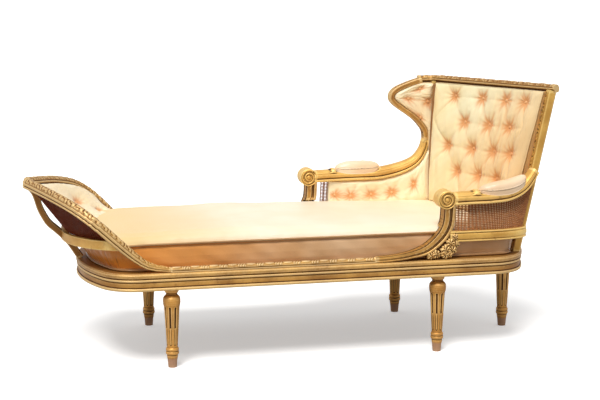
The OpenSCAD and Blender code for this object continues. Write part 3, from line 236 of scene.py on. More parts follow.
def bar(path, ring, up=(0, 0, 1), scale=None, carve=None, shape=None):
    """Sweeps a ring of [across, up] points along a path and closes its ends. The ring runs
    anticlockwise, seen against the path. carve(d, x, y) gives how far the skin stands out, and
    shape(d, points) bends whole sections. d is the distance along, x and y are shares of the half."""
    n = len(path)
    side, top = across_and_up(path, up)
    k = np.ones(n) if scale is None else np.asarray(scale)
    after, before = np.roll(ring, -1, 0), np.roll(ring, 1, 0)
    out = unit(np.stack([(after - before)[:, 1], -(after - before)[:, 0]], -1))
    half = np.abs(ring).max(0)
    d = path_length(path)[:, None]
    section = np.repeat(ring[None], n, 0)
    if carve is not None:
        lift = carve(d, (ring[:, 0] / half[0])[None], (ring[:, 1] / half[1])[None])
        section = section + lift[..., None] * out[None]
    section = section * k[:, None, None]
    if shape is not None:
        section = shape(d, section)
    rings = path[:, None] + side[:, None] * section[..., :1] + top[:, None] * section[..., 1:]
    return closed(rings, rings[0].mean(0), rings[-1].mean(0))


# %% [markdown]
# An outline is a closed ring of points, cut into short steps and softened a little, because no
# moulding on old gilded wood has a knife edge. Arcs give the beads, and the grooves between them
# stay sharp enough to hold a dark line.

# %% Outlines of mouldings
def outline(shares, width, height, step=0.0014, soften=2):
    ring = np.array(shares, float) * [width, height]
    closed = np.concatenate([ring, ring[:1]])
    d = path_length(closed)
    n = max(int(round(d[-1] / step)), 16)
    want = np.linspace(0, d[-1], n, endpoint=False)
    pts = np.stack([np.interp(want, d, closed[:, k]) for k in range(2)], -1)
    for _ in range(soften):
        pts = 0.5 * pts + 0.25 * (np.roll(pts, 1, 0) + np.roll(pts, -1, 0))
    return pts


def bead(x, y0, y1, bulge, n=7):
    """Points of a round bead on the side at x, from height y0 to y1, standing out by bulge."""
    t = np.linspace(0, 1, n)
    return [[x + bulge * math.sqrt(max(1 - (2 * k - 1) ** 2, 0)), lerp(y0, y1, k)] for k in t]


# %% [markdown]
# Shader maths is written as plain expressions. A Value wraps one socket, and adding or multiplying
# it places the matching Math node. Everything that isn't a number, such as a colour, goes through
# one method that makes any node with its settings first and its inputs after.

# %% A small shader language
class Value:
    def __init__(self, graph, socket):
        self.graph, self.socket = graph, socket

    def math(self, operation, *others, first=None):
        inputs = [self, *others] if first is None else [first, self]
        return self.graph.node("ShaderNodeMath", {"operation": operation}, dict(enumerate(inputs)))

    def __add__(self, other):
        return self.math("ADD", other)

    def __sub__(self, other):
        return self.math("SUBTRACT", other)

    def __mul__(self, other):
        return self.math("MULTIPLY", other)

    def __rsub__(self, other):
        return self.math("SUBTRACT", first=other)

    __radd__ = __add__
    __rmul__ = __mul__

    def above(self, low, high):
        """0 below low, 1 above high, and a smooth rise between."""
        return self.graph.node("ShaderNodeMapRange", {"interpolation_type": "SMOOTHSTEP"},
                               {"Value": self, "From Min": low, "From Max": high})


def colour(red, green, blue):
    """A colour written as 0 to 255, as the eye sees it, in the renderer's linear values."""
    return tuple(((c / 255 + 0.055) / 1.055) ** 2.4 if c > 10 else c / 255 / 12.92
                 for c in (red, green, blue)) + (1.0,)


class Graph:
    """A node tree that nodes are added to."""

    def __init__(self, tree):
        self.tree = tree

    def node(self, kind, settings, inputs, output=0):
        made = self.tree.nodes.new(kind)
        for key, value in settings.items():
            setattr(made, key, value)
        for key, value in inputs.items():
            if isinstance(value, Value):
                self.tree.links.new(value.socket, made.inputs[key])
            else:
                made.inputs[key].default_value = value
        return Value(self, made.outputs[output])

    def mix(self, factor, a, b):
        return self.node("ShaderNodeMix", {"data_type": "RGBA"}, {0: factor, 6: a, 7: b}, 2)

    def light_path(self, *questions):
        """For each kind of ray asked for, 1 where the ray that looks is of that kind."""
        rays = self.tree.nodes.new("ShaderNodeLightPath")
        return [Value(self, rays.outputs[question]) for question in questions]


class Finish(Graph):
    """One material: its constants are set on the shader's own sockets."""

    def __init__(self, name, **constants):
        self.material = bpy.data.materials.new(name)
        self.material.use_nodes = True
        super().__init__(self.material.node_tree)
        self.shader = self.tree.nodes["Principled BSDF"]
        for key, value in constants.items():
            self.shader.inputs[key.replace("_", " ")].default_value = value
        self.place = self.node("ShaderNodeTexCoord", {}, {}, "Object")

    def mark(self, name):
        return self.node("ShaderNodeAttribute", {"attribute_name": name}, {}, "Fac")

    def noise(self, scale, detail=3.0, rough=0.5, stretch=None):
        at = self.place if stretch is None else self.node(
            "ShaderNodeMapping", {}, {"Vector": self.place, "Scale": stretch})
        return self.node("ShaderNodeTexNoise", {}, {"Vector": at, "Scale": scale, "Detail": detail,
                                                    "Roughness": rough}, "Fac")

    def link(self, value, socket):
        self.tree.links.new(value.socket, self.shader.inputs[socket])

    def bump(self, height, strength, distance):
        self.link(self.node("ShaderNodeBump", {}, {"Height": height, "Strength": strength,
                                                   "Distance": distance}), "Normal")


# %% [markdown]
# The gilding is old water gilding on a brown ground. High places are pale, partly rubbed gilding and
# partly a painted highlight; hollows are dark, partly dirt and partly painted shade; and here and
# there the red-brown bole shows. It is satin rather than mirror bright.

# %% Gilding
# The dark of the hollows: dirt and painted shade together.
DIRT_AND_SHADE, BOLE = colour(72, 44, 20), colour(120, 64, 34)


def gilding(name, pale, gold, brown, dirt_depth=1.0, ends=0):
    """pale is the colour of high places, rubbed gilding with a painted highlight. ends says how far
    painted shade darkens the wood towards both ends of the seat."""
    f = Finish(name, Metallic=0.42, Specular_IOR_Level=0.34)
    hollow = f.mark("hollow")
    cloud = f.noise(9, 4)
    speck = f.noise(150, 3, 0.6)
    # Pale on raised places: rubbed gilding and a painted highlight.
    rubbed_and_highlight = (0 - hollow + speck * 0.3 - 0.15).above(0.08, 0.45)
    # Dark in hollows: dirt and painted shade.
    dirt_and_shade = (hollow * dirt_depth + speck * 0.2 - 0.1).above(0.02, 0.3)
    base = f.mix(cloud.above(0.36, 0.7) * 0.8, gold, brown)
    # Painted shade: the wood turns browner towards both ends of the seat, where it turns from the light.
    if ends:
        along = f.node("ShaderNodeSeparateXYZ", {}, {"Vector": f.place}, "X").math("ABSOLUTE")
        base = f.mix((along + 0.1 * cloud).above(0.5, 0.92) * ends, base, brown)
    base = f.mix(f.noise(55, 5, 0.7).above(0.5, 0.75) * 0.5, base, brown)
    base = f.mix(rubbed_and_highlight * 0.6, base, pale)
    base = f.mix(dirt_and_shade, base, DIRT_AND_SHADE)
    bole = f.noise(42, 5, 0.7).above(0.6, 0.7)
    base = f.mix(bole * 0.4, base, BOLE)
    f.link(base, "Base Color")
    f.link(0.34 + 0.3 * cloud + 0.25 * dirt_and_shade, "Roughness")
    f.bump(speck + 0.5 * f.noise(420, 2), 0.35, 0.0006)
    return f


gilt = gilding("worn_gilding", colour(242, 212, 152), colour(206, 156, 80), colour(152, 104, 50),
               1.15, 0.95).material
gilt_plain = gilding("plain_gilding", colour(248, 218, 142), colour(222, 176, 90),
                     colour(186, 136, 60), 0.8).material
gilt_arm = gilding("bright_gilding", colour(250, 222, 148), colour(228, 180, 96),
                   colour(196, 144, 68)).material
gilt_silvery = gilding("rubbed_gilding", colour(226, 200, 152), colour(198, 152, 82),
                       colour(154, 112, 58), 1.2).material

# %% [markdown]
# The legs are gilded too, but their feet are worn to the bare pinkish wood. The mask is the height
# above the floor, broken up by noise.

# %% Gilding worn off at the feet
LEG_BARE_FROM = 0.034


def leg_gilding():
    f = gilding("leg_gilding", colour(246, 206, 134), colour(212, 154, 74), colour(164, 108, 46), 1.2)
    old = Value(f, f.shader.inputs["Base Color"].links[0].from_socket)
    height = f.node("ShaderNodeSeparateXYZ", {}, {"Vector": f.place}, "Z")
    ragged = height + 0.014 * f.noise(70, 4) - 0.007
    bare = 1 - ragged.above(LEG_BARE_FROM - 0.006, LEG_BARE_FROM + 0.004)
    grain = f.noise(30, 5, 0.6, (8, 8, 0.8))
    wood = f.mix(grain, colour(206, 168, 142), colour(166, 122, 96))
    f.link(f.mix(bare * 0.85, old, wood), "Base Color")
    return f.material


leg_gilt = leg_gilding()

# %% [markdown]
# The upholstery is a cream silk satin. It is pale on the crown of each fold, and painted shade and
# bounce light make it warm where the folds go down to a button, as light bounces between the two
# sides of a fold. The hollow mark says where that is.

# %% Satin
def satin(name, crown, body, fold, rough=0.28, warm=None, shine=0.5):
    """warm is (weights of x, y and z, the value it starts at, the value it ends at, a colour)."""
    f = Finish(name, Roughness=rough, Specular_IOR_Level=shine, Sheen_Weight=0.1,
               Sheen_Roughness=0.35)
    hollow = f.mark("hollow")
    cloud = f.noise(5, 3)
    base = f.mix(cloud.above(0.3, 0.7), crown, body)
    if warm:
        weights, low, high, tone = warm
        along = f.node("ShaderNodeVectorMath", {"operation": "DOT_PRODUCT"},
                       {0: f.place, 1: weights}, "Value")
        base = f.mix((along + 0.12 * cloud - 0.06).above(low, high), base, tone)
    # Painted shade and bounce light: the fold colour goes where the hollow mark is high.
    base = f.mix((hollow + 0.16 * f.noise(24, 3) - 0.08).above(0.06, 0.9) * 0.92, base, fold)
    f.link(base, "Base Color")
    weave = f.node("ShaderNodeTexWave", {"wave_type": "BANDS", "bands_direction": "DIAGONAL"},
                   {"Vector": f.place, "Scale": 420, "Distortion": 1.5, "Detail": 1}, "Fac")
    f.bump(0.35 * weave + f.noise(60, 3, 0.5, (1, 1, 3)), 0.25, 0.0007)
    return f.material


tufted_satin = satin("tufted_satin", colour(255, 242, 208), colour(253, 230, 186),
                     colour(228, 156, 94))
# On the back cushion, a tan painted shade grows towards its near side and its lower edge.
back_satin = satin("back_satin", colour(255, 246, 206), colour(255, 236, 186), colour(226, 152, 86),
                   warm=((0.1, -1.0, -0.7), -0.7, -0.1, colour(244, 206, 150)))
# The covered buttons take a darker satin: painted shade of the pits they sit in.
button_satin = satin("button_satin", colour(238, 186, 130), colour(222, 160, 102),
                     colour(190, 116, 62), 0.34)
mattress_satin = satin("mattress_satin", colour(250, 237, 212), colour(247, 230, 200),
                       colour(214, 170, 112), 0.42,
                       ((-1.0, 0, 0), 0.1, 0.62, colour(234, 204, 146)))
# The mattress's side takes a darker copy of its satin, painted shade, warmer towards the foot end.
shaded_side_satin = satin("mattress_side_satin", colour(228, 188, 146), colour(208, 162, 114),
                   colour(142, 92, 48), 0.34,
                   ((-1.0, 0, 0.6), 0.1, 0.9, colour(236, 154, 66)), 0.4)
pad_satin = satin("arm_pad_satin", colour(250, 224, 192), colour(236, 200, 160),
                  colour(206, 144, 96))
# A dark satin for a cord of painted shade in the crease beside the back cushion.
crease_satin = satin("crease_satin", colour(168, 118, 62), colour(140, 94, 46), colour(96, 60, 28))
welt_satin = satin("welt_satin", colour(190, 148, 100), colour(168, 124, 78), colour(110, 72, 38))

# %% [markdown]
# Cane is split rattan, stained reddish brown and varnished. Bare beech is used inside, and a linen
# cloth covers the slats.

# %% Cane, bare wood and linen
def cane_finish(name, light, dark, shine):
    f = Finish(name, Specular_IOR_Level=shine)
    streak = f.noise(60, 4, 0.6, (1, 1, 4))
    f.link(f.mix(streak.above(0.3, 0.7), light, dark), "Base Color")
    f.link(0.36 + 0.25 * streak, "Roughness")
    f.bump(f.noise(900, 2), 0.3, 0.0003)
    return f.material


cane = cane_finish("stained_cane", colour(196, 132, 80), colour(152, 92, 50), 0.45)
cane_dark = cane_finish("shaded_cane", colour(146, 62, 24), colour(100, 38, 14), 0.15)


def bare_wood_finish():
    f = Finish("bare_beech", Specular_IOR_Level=0.3)
    grain = f.noise(14, 6, 0.65, (1, 12, 12))
    f.link(f.mix(grain.above(0.3, 0.7), colour(196, 156, 112), colour(150, 108, 70)),
           "Base Color")
    f.link(0.55 + 0.2 * grain, "Roughness")
    f.bump(grain, 0.3, 0.0005)
    return f.material


def linen_finish():
    f = Finish("deck_linen", Roughness=0.85)
    warp, weft = (f.node("ShaderNodeTexWave", {"bands_direction": way},
                         {"Vector": f.place, "Scale": 240, "Distortion": 0.6}, "Fac")
                  for way in "XY")
    cloth = 0.5 * warp + 0.5 * weft
    f.link(f.mix(cloth, colour(198, 184, 156), colour(222, 210, 184)), "Base Color")
    f.bump(cloth, 0.4, 0.0004)
    return f.material


bare_wood = bare_wood_finish()
linen = linen_finish()

# %% [markdown]
# Each new piece goes through one function: it takes its material, its hollows are measured, it
# rides on the frame's only body, and it says which CAD nodes it stands for.

# %% Hand a piece to the frame
def dress(name, points, faces, material, slot, replaces=(), hollows=(12, 0.0012), sharp=None,
          ring=0):
    """hollows is how widely hollows are measured and the depth that counts as full, sharp the angle
    in degrees past which an edge stays sharp."""
    obj = make_mesh(name, points, faces)
    measure_hollows(obj, *hollows, ring)
    if sharp:
        obj.data.set_sharp_from_angle(angle=math.radians(sharp))
    obj.data.materials.append(material)
    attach(obj, "root")
    if replaces:
        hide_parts(*replaces)
    print(name, len(obj.data.polygons), "faces")
    return obj


# %% [markdown]
# The seat's outline is a racetrack: straight sides, round corners and bowed ends. The frame's rails
# give its size. One profile runs right round it: a nose and a bead on top, a broad fascia and a lip.

# %% Seat rails
rail_low, rail_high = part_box("seat_rail_near")
foot_cx, head_cx = rail_low.x, rail_high.x
half_w, rail_z, rail_top = -rail_low.y, rail_low.z, rail_high.z
rail_h, rail_w = rail_top - rail_z, rail_high.y - rail_low.y
side_len = head_cx - foot_cx
CORNER_R = 0.145
END_R = 0.600
corner_cy = half_w - CORNER_R
bow_deg = math.degrees(math.asin(corner_cy / (END_R - CORNER_R)))
bow_reach = (END_R - CORNER_R) * math.cos(math.radians(bow_deg))


def end_plan(cx, sign, inset, n):
    """Half of the outline round one end, drawn in by inset, from the near side to the far side."""
    r, big = CORNER_R - inset, END_R - inset
    parts = [arc(cx, -corner_cy, r, -90, -bow_deg, n),
             arc(cx - bow_reach, 0, big, -bow_deg, bow_deg, 2 * n),
             arc(cx, corner_cy, r, bow_deg, 90, n)]
    plan = np.concatenate([parts[0], parts[1][1:], parts[2][1:]])
    return plan if sign > 0 else plan * [-1, -1] + [2 * cx, 0]


def level(plan, z):
    return np.concatenate([plan, np.full((len(plan), 1), z)], 1)


RAIL_PROFILE = ([[-0.5, -0.5], [0.43, -0.5]] + bead(0.455, -0.49, -0.33, 0.035) + [[0.385, -0.315]]
                + bead(0.385, -0.3, -0.03, 0.02) + [[0.355, 0.0]] + bead(0.42, 0.02, 0.17, 0.05)
                + [[0.4, 0.19]] + bead(0.435, 0.21, 0.47, 0.062) + [[0.4, 0.5], [-0.5, 0.5]])
rail_ring = outline(RAIL_PROFILE, rail_w, rail_h, 0.0012)
LAP = 0.0015  # by which the side rails run into the end rails, so that no seam shows
RAIL_HOLLOWS = (16, 0.0011)
mid_y, mid_z = half_w - rail_w / 2, (rail_z + rail_top) / 2
for name, y, sign in (("seat_rail_near", -mid_y, 1), ("seat_rail_far", mid_y, -1)):
    ends = (foot_cx - LAP, head_cx + LAP) if sign > 0 else (head_cx + LAP, foot_cx - LAP)
    rail = dress(name + "_carved", *bar(along_x(*ends, y, mid_z, 40), rail_ring), gilt, "gilt_wood",
                 (name,), RAIL_HOLLOWS, 40, len(rail_ring))
rail_hollows = get_hollows(rail)[:len(rail_ring)]
for name, cx, sign in (("seat_rail_head", head_cx, 1), ("seat_rail_foot", foot_cx, -1)):
    line, _ = even(level(end_plan(cx, sign, rail_w / 2, 16), mid_z), 0.008)
    rail = dress(name + "_carved", *bar(line, rail_ring), gilt, "gilt_wood", (name,), RAIL_HOLLOWS,
                 40)
    set_hollows(rail, np.concatenate([np.tile(rail_hollows, len(line)), [0, 0]]))

# %% [markdown]
# The legs are turned, then fluted. A flute is a round groove cut by a rod that lies just outside the
# skin, and its lower half is filled by a reed.

# %% Legs
LEG_TURNING = [[0.484, 0], [0.5, 0.02], [0.55, 0.09], [0.63, 0.14], [0.63, 0.16], [0.7, 0.166],
               [0.745, 0.176], [0.757, 0.186], [0.745, 0.197], [0.69, 0.207], [0.725, 0.214],
               [0.745, 0.226], [0.725, 0.24], [0.63, 0.256], [0.625, 0.274], [0.87, 0.754],
               [0.9, 0.775], [0.965, 0.8], [0.995, 0.83], [0.995, 0.86], [0.96, 0.882],
               [0.88, 0.897], [0.75, 0.911], [0.65, 0.923], [0.65, 0.94], [0.76, 0.953],
               [0.82, 0.967], [0.82, 1]]
LEG_R = 0.031
LEG_COLS = 120
FLUTES, FLUTE_R, FLUTE_OUT = 8, 0.0045, 0.0014
FLUTE_FROM, FLUTE_TO = 0.3, 0.76
REED_R, REED_TO, REED_SWELL = 0.0031, 0.5, 1.05


def turned(foot, heights, radius, cols):
    """A closed body turned about an upright axis. radius has a value for each row and column."""
    a = np.arange(cols) * 2 * math.pi / cols
    n = len(heights)
    r = np.broadcast_to(radius, (n, cols))
    rings = np.stack([r * np.cos(a), r * np.sin(a), np.repeat(heights[:, None], cols, 1)], -1)
    points, faces = closed(rings, [0, 0, heights[0]], [0, 0, heights[-1]], flip=True)
    return points + np.array(foot), faces


def leg_skin(cols):
    """Heights and radii of the leg. Its rows lie closer together at the two turned necks."""
    rows = np.unique(np.concatenate([np.linspace(0, 1, 105), np.linspace(0.15, 0.28, 40),
                                     np.linspace(0.77, 1, 46)]))
    radii, places = np.array(LEG_TURNING).T
    r = np.interp(rows, places, radii)[:, None] * LEG_R
    a = np.arange(cols) / cols * FLUTES
    across = (a % 1 - 0.5)[None] * 2 * math.pi * r / FLUTES

    def past(low, high):
        return np.maximum(np.maximum(low - rows, rows - high), 0)[:, None] * rail_z

    groove = np.sqrt(np.maximum(FLUTE_R ** 2 - across ** 2 - past(FLUTE_FROM, FLUTE_TO) ** 2, 0))
    reed = np.sqrt(np.maximum(REED_R ** 2 - across ** 2 - past(FLUTE_FROM, REED_TO) ** 2, 0))
    return rows * rail_z, r - np.maximum(groove - FLUTE_OUT, 0) + reed * REED_SWELL


leg_rows, leg_radius = leg_skin(LEG_COLS)
for name in ("near_foot", "near_head", "far_foot", "far_head", "head_centre"):
    low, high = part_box("leg_" + name)
    foot = ((low.x + high.x) / 2, (low.y + high.y) / 2, 0)
    dress("leg_" + name + "_turned", *turned(foot, leg_rows, leg_radius, LEG_COLS), leg_gilt,
          "gilt_wood", ("leg_" + name,), (14, 0.001), 50)

# %% [markdown]
# Carving is a height laid along a moulding. Leaves are overlapping tongues, and the ribbon band is
# a row of long beads with a ribbon wound round the rod between them.

# %% Carving
def leaves(d, x, pitch, lean=0.5):
    """Overlapping leaves along d: a slow rise and a quick fall, swept back towards the edges. Two
    waves that don't keep step with the pitch make each leaf a little unlike the next."""
    uneven = 0.32 * np.sin(d / pitch * 1.7) + 0.2 * np.sin(d / pitch * 4.1 + 3 * x)
    p = (d / pitch + lean * np.abs(x) + uneven) % 1
    vein = 0.18 * np.abs(np.sin(9 * x + 2.4 * p))
    return np.minimum(p / 0.62, (1 - p) / 0.38) ** 0.8 * (1 - 0.35 * np.abs(x)) - vein


RIBBON_PITCH, WOUND_PITCH = 0.066, 0.0095


def ribbon(d, x):
    p = (d / RIBBON_PITCH) % 1
    long_bead = 0.0022 * np.sqrt(np.maximum(1 - ((p - 0.3) / 0.27) ** 2 - (x / 0.7) ** 2, 0))
    turns = np.abs(np.sin(math.pi * (d + 0.007 * x) / WOUND_PITCH)) ** 0.8
    return long_bead + 0.0013 * turns * (np.abs(p - 0.8) < 0.2) - 0.001


def top_only(y, low, high):
    """Keeps carving to the top of a section: none under low, all of it over high."""
    return smooth01((y - low) / (high - low))


def dome(rx, ry, cy, a0=-12, a1=192, n=19):
    """An arc over the top of a section, from its +x side to its -x side."""
    a = np.radians(np.linspace(a0, a1, n))
    return [[rx * math.cos(k), cy + ry * math.sin(k)] for k in a]


BAND_PROFILE = ([[-0.5, -0.5], [0.5, -0.5]] + bead(0.47, -0.47, -0.26, 0.03) + [[0.4, -0.22]]
                + dome(0.43, 0.46, -0.02) + [[-0.5, -0.2]])
for side, far in (("near", False), ("far", True)):
    low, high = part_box("ribbon_band_" + side)
    ends = (high.x, low.x) if far else (low.x, high.x)
    line = along_x(*ends, (low.y + high.y) / 2, (low.z + high.z) / 2, int((high.x - low.x) / 0.0016))
    ring = outline(BAND_PROFILE, high.y - low.y, high.z - low.z, 0.0015)
    dress("ribbon_band_" + side + "_carved",
          *bar(line, ring, carve=lambda d, x, y: ribbon(d, x) * top_only(y, -0.15, 0.25)),
          gilt_silvery, "gilt_wood", ("ribbon_band_" + side,), (10, 0.0009), 60)

# %% [markdown]
# Two carved rims rise from the bands, turn inwards and meet at a knot. Points of the foot end are
# shares: how far out it is, how far across, and how high.

# %% Rims, knot and post of the foot end
PROW_X, PROW_LEN, PROW_HALF_W, PROW_H = -0.4772, 0.469, 0.334, 0.279
RIM_W, RIM_H, RIM_SKEW = 0.034, 0.037, 0.017
RIM_SHARES = [[0, 1, 0.035], [0.147, 1, 0.094], [0.274, 1, 0.262], [0.4, 1, 0.471],
              [0.526, 0.975, 0.67], [0.653, 0.83, 0.815], [0.8, 0.54, 0.915], [0.92, 0.24, 0.97],
              [1, 0.04, 1]]
RIM_SCALE = [0.45, 0.7, 0.9, 1, 1, 1, 1, 1, 1]


def prow(shares):
    s = np.asarray(shares, float)
    return np.stack([PROW_X - s[..., 0] * PROW_LEN, s[..., 1] * PROW_HALF_W,
                     rail_top + s[..., 2] * PROW_H], -1)


def rim_path(sign):
    s = np.array(RIM_SHARES)
    ctrl = prow(s * [1, sign, 1])
    ctrl[:, 0] += sign * RIM_SKEW * np.sin(math.pi * s[:, 0])
    return spline(ctrl, 3)


rim_near_path, rim_far_path = rim_path(-1), rim_path(1)
RIM_PROFILE = ([[-0.5, -0.3], [-0.36, -0.5], [0.3, -0.5], [0.42, -0.44]] + bead(0.45, -0.42, -0.24, 0.05)
               + [[0.36, -0.2]] + bead(0.42, -0.17, 0.12, 0.07) + [[0.34, 0.17]] + dome(0.4, 0.3, 0.2)
               + [[-0.34, 0.12]] + bead(-0.42, 0.08, -0.16, -0.07) + [[-0.4, -0.2]])
rim_ring = outline(RIM_PROFILE, RIM_W, RIM_H, 0.0015)


def rim_leaves(d, x, y):
    large, small = leaves(d, x, 0.024, 0.9), leaves(d, x, 0.0083, -0.6)
    return (0.0021 * large + 0.0009 * small - 0.0012) * top_only(y, 0.3, 0.55)


for side, path, ring in (("near", rim_near_path, rim_ring[::-1] * [-1, 1]),
                         ("far", rim_far_path, rim_ring)):
    line, share = even(path, 0.0022)
    size = np.interp(share, np.linspace(0, 1, len(RIM_SCALE)), RIM_SCALE)
    dress("foot_rim_" + side + "_carved", *bar(line, ring, scale=size, carve=rim_leaves), gilt,
          "gilt_wood", ("foot_rim_" + side,), (12, 0.001), 60)

KNOT = [[0, -0.5], [0.3, -0.47], [0.45, -0.42], [0.58, -0.36], [0.6, -0.3], [0.5, -0.2],
        [0.66, -0.12], [0.9, 0], [0.99, 0.08], [1, 0.14], [0.95, 0.24], [0.85, 0.32], [0.64, 0.4],
        [0.4, 0.44], [0.15, 0.49], [0, 0.5]]
KNOT_COLS, PETALS = 96, 8
low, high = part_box("foot_knot")
knot_r, knot_h = (high.x - low.x) / 2, high.z - low.z
rows = np.linspace(-0.5, 0.5, 46)
angles = np.arange(KNOT_COLS) / KNOT_COLS * 2 * math.pi
twist = np.cos(PETALS * angles[None] + 5 * rows[:, None])
petals = 1 + 0.09 * twist * np.sin(math.pi * (rows[:, None] + 0.5))
radii, places = np.array(KNOT).T
knot_radius = np.interp(rows, places, radii)[:, None] * knot_r * 0.94 * petals
knot_centre = ((low.x + high.x) / 2, 0, (low.z + high.z) / 2)
dress("foot_knot_carved", *turned(knot_centre, rows * knot_h, knot_radius + 1e-5, KNOT_COLS), gilt,
      "gilt_wood", ("foot_knot",), (8, 0.001), 60)

POST_SHARES = [[0.975, 0.94], [0.95, 0.885], [0.93, 0.806], [0.908, 0.677], [0.879, 0.57],
               [0.84, 0.466], [0.768, 0.355], [0.691, 0.215], [0.626, 0.047], [0.605, 0.002]]
foot_post_path, _ = even(spline([prow([a, 0, z]) for a, z in POST_SHARES], 4), 0.003)
POST_SECTION = ([[-0.46, -0.5], [0.4, -0.5], [0.5, -0.36]] + bead(0.47, -0.34, -0.2, 0.03)
                + [[0.4, -0.16], [0.4, 0.16]] + bead(0.47, 0.2, 0.34, 0.03)
                + [[0.5, 0.36], [0.4, 0.5], [-0.4, 0.5], [-0.5, 0.36]]
                + bead(-0.47, 0.34, 0.2, -0.03) + [[-0.4, 0.16], [-0.4, -0.16]]
                + bead(-0.47, -0.2, -0.34, -0.03) + [[-0.5, -0.36]])
dress("foot_post_moulded", *bar(foot_post_path, outline(POST_SECTION, 0.024, 0.042), up=(0, 1, 0)),
      gilt, "gilt_wood", ("foot_post",), (10, 0.001), 50)

FOOT_BAND_SHARES = [[0.345, 0.985, 0.355], [0.45, 0.94, 0.357], [0.55, 0.82, 0.352],
                    [0.62, 0.66, 0.342], [0.68, 0.45, 0.328], [0.718, 0.22, 0.316], [0.732, 0, 0.31]]
foot_band_half = spline([prow(q) for q in FOOT_BAND_SHARES], 2)
other_half = foot_band_half[-2::-1] * [1, -1, 1]
foot_band_path, _ = even(spline(np.concatenate([foot_band_half, other_half]), 3), 0.005)
FOOT_BAND = ([[-0.46, -0.46], [-0.3, -0.5], [0.3, -0.5]] + bead(0.44, -0.46, -0.2, 0.06)
             + [[0.34, -0.16]] + bead(0.42, -0.12, 0.2, 0.05) + [[0.3, 0.24]]
             + bead(0.42, 0.28, 0.46, 0.06) + [[0.3, 0.5], [-0.46, 0.5]])
foot_band_ring = outline(FOOT_BAND, 0.02, 0.034, 0.0011)
dress("foot_band_moulded", *bar(foot_band_path[::-1], foot_band_ring), gilt_arm, "gilt_wood",
      ("foot_band",), (10, 0.001), 50)

# %% [markdown]
# The back is a panel whose two stiles lean by different amounts, so it is slightly warped. Places on
# it are three shares or distances: u from the near stile to the far one, v upwards, w rearwards.

# %% The back's own places
NEAR_FOOT, FAR_FOOT = np.array([0.8128, -0.262, 0.348]), np.array([0.6928, 0.318, 0.348])
NEAR_RISE, FAR_RISE = 0.623, 0.609
NEAR_HEAD, FAR_HEAD = NEAR_FOOT + [0.125, -0.038, NEAR_RISE], FAR_FOOT + [-0.04, 0, FAR_RISE]
STILE_W, STILE_T, CREST_H = 0.036, 0.03, 0.03
STILE_U = STILE_W / np.linalg.norm(FAR_FOOT - NEAR_FOOT)
CREST_V = 1 - CREST_H / NEAR_RISE
BAND_MID_Z = 0.43
JOINT_GAP, CLOTH_GAP = 0.0002, 0.0004


def shares_of_back(u, v):
    return np.broadcast_arrays(np.asarray(u, float)[..., None], np.asarray(v, float)[..., None])


def back_flat(u, v):
    u, v = shares_of_back(u, v)
    return lerp(lerp(NEAR_FOOT, NEAR_HEAD, v), lerp(FAR_FOOT, FAR_HEAD, v), u)


def back_rear(u, v):
    u, v = shares_of_back(u, v)
    return unit(np.cross(lerp(FAR_FOOT, FAR_HEAD, v) - lerp(NEAR_FOOT, NEAR_HEAD, v),
                         lerp(NEAR_HEAD, FAR_HEAD, u) - lerp(NEAR_FOOT, FAR_FOOT, u)))


def back_pt(u, v, w):
    return back_flat(u, v) + np.asarray(w, float)[..., None] * back_rear(u, v)


def back_v(z):
    return (z - rail_top) / FAR_RISE


# %% [markdown]
# The stiles have a plain outer half and a carved inner half. The crest rail is carved along its
# top edge, and the bands under the arms are plain rounded bars.

# %% Back frame and bands
STILE = [[-0.5, -0.36], [-0.46, -0.46], [-0.4, -0.5], [-0.06, -0.5], [-0.03, -0.43], [0.03, -0.43],
         [0.06, -0.5], [0.4, -0.5], [0.48, -0.44], [0.5, -0.34], [0.5, 0.3], [0.3, 0.5],
         [-0.3, 0.5], [-0.5, 0.3]]
stile_ring = outline(STILE, STILE_W, STILE_T, 0.0012, 1)
for side, u in (("near", STILE_U / 2), ("far", 1 - STILE_U / 2)):
    v = np.linspace(0.0005, CREST_V + 0.012, 190)
    line = back_pt(np.full(len(v), u), v, np.full(len(v), STILE_T / 2))
    inner = 1 if side == "near" else -1

    def stile_leaves(d, x, y):
        on_inner_half = (np.abs(x * inner - 0.48) < 0.36) * (y < -0.82)
        return (0.0022 * leaves(d, (x * inner - 0.5) * 2, 0.021, 0.4) - 0.001) * on_inner_half

    dress("stile_" + side + "_carved", *bar(line, stile_ring, up=(1, 0, 0), carve=stile_leaves),
          gilt_plain, "gilt_wood", ("stile_" + side,), (8, 0.0009), 60)

crest_end = FAR_HEAD - [0, 0, CREST_H / 2]
crest_main = back_pt(np.linspace(0, 0.95, 7), np.full(7, 1 - CREST_H / 2 / NEAR_RISE),
                     np.full(7, STILE_T / 2))
crest_turn = crest_end + [[0.0075, -0.0075, 0], [-0.015, -0.00375, 0], [-0.044, -0.00375, 0]]
crest_ctrl = np.concatenate([crest_main, crest_turn])
crest_path, _ = even(spline(crest_ctrl, 4), 0.0025)
CREST = ([[-0.3, -0.5], [0.36, -0.5], [0.5, -0.3], [0.5, 0.2]] + dome(0.44, 0.34, 0.16, -5, 185)
         + [[-0.4, 0.1]] + bead(-0.44, 0.08, -0.12, -0.06)
         + [[-0.38, -0.16], [-0.26, -0.24], [-0.22, -0.36]])


def crest_leaves(d, x, y):
    large, small = leaves(d, x, 0.05, 0.25), leaves(d, x, 0.0125, 0.5)
    return (0.0022 * large + 0.0007 * small - 0.0012) * top_only(y, 0.25, 0.6)


crest_ring = outline(CREST, STILE_T, CREST_H - 0.0004, 0.0013)
dress("crest_rail_carved", *bar(crest_path, crest_ring, carve=crest_leaves), gilt, "gilt_wood",
      ("crest_rail",), (10, 0.001), 60)

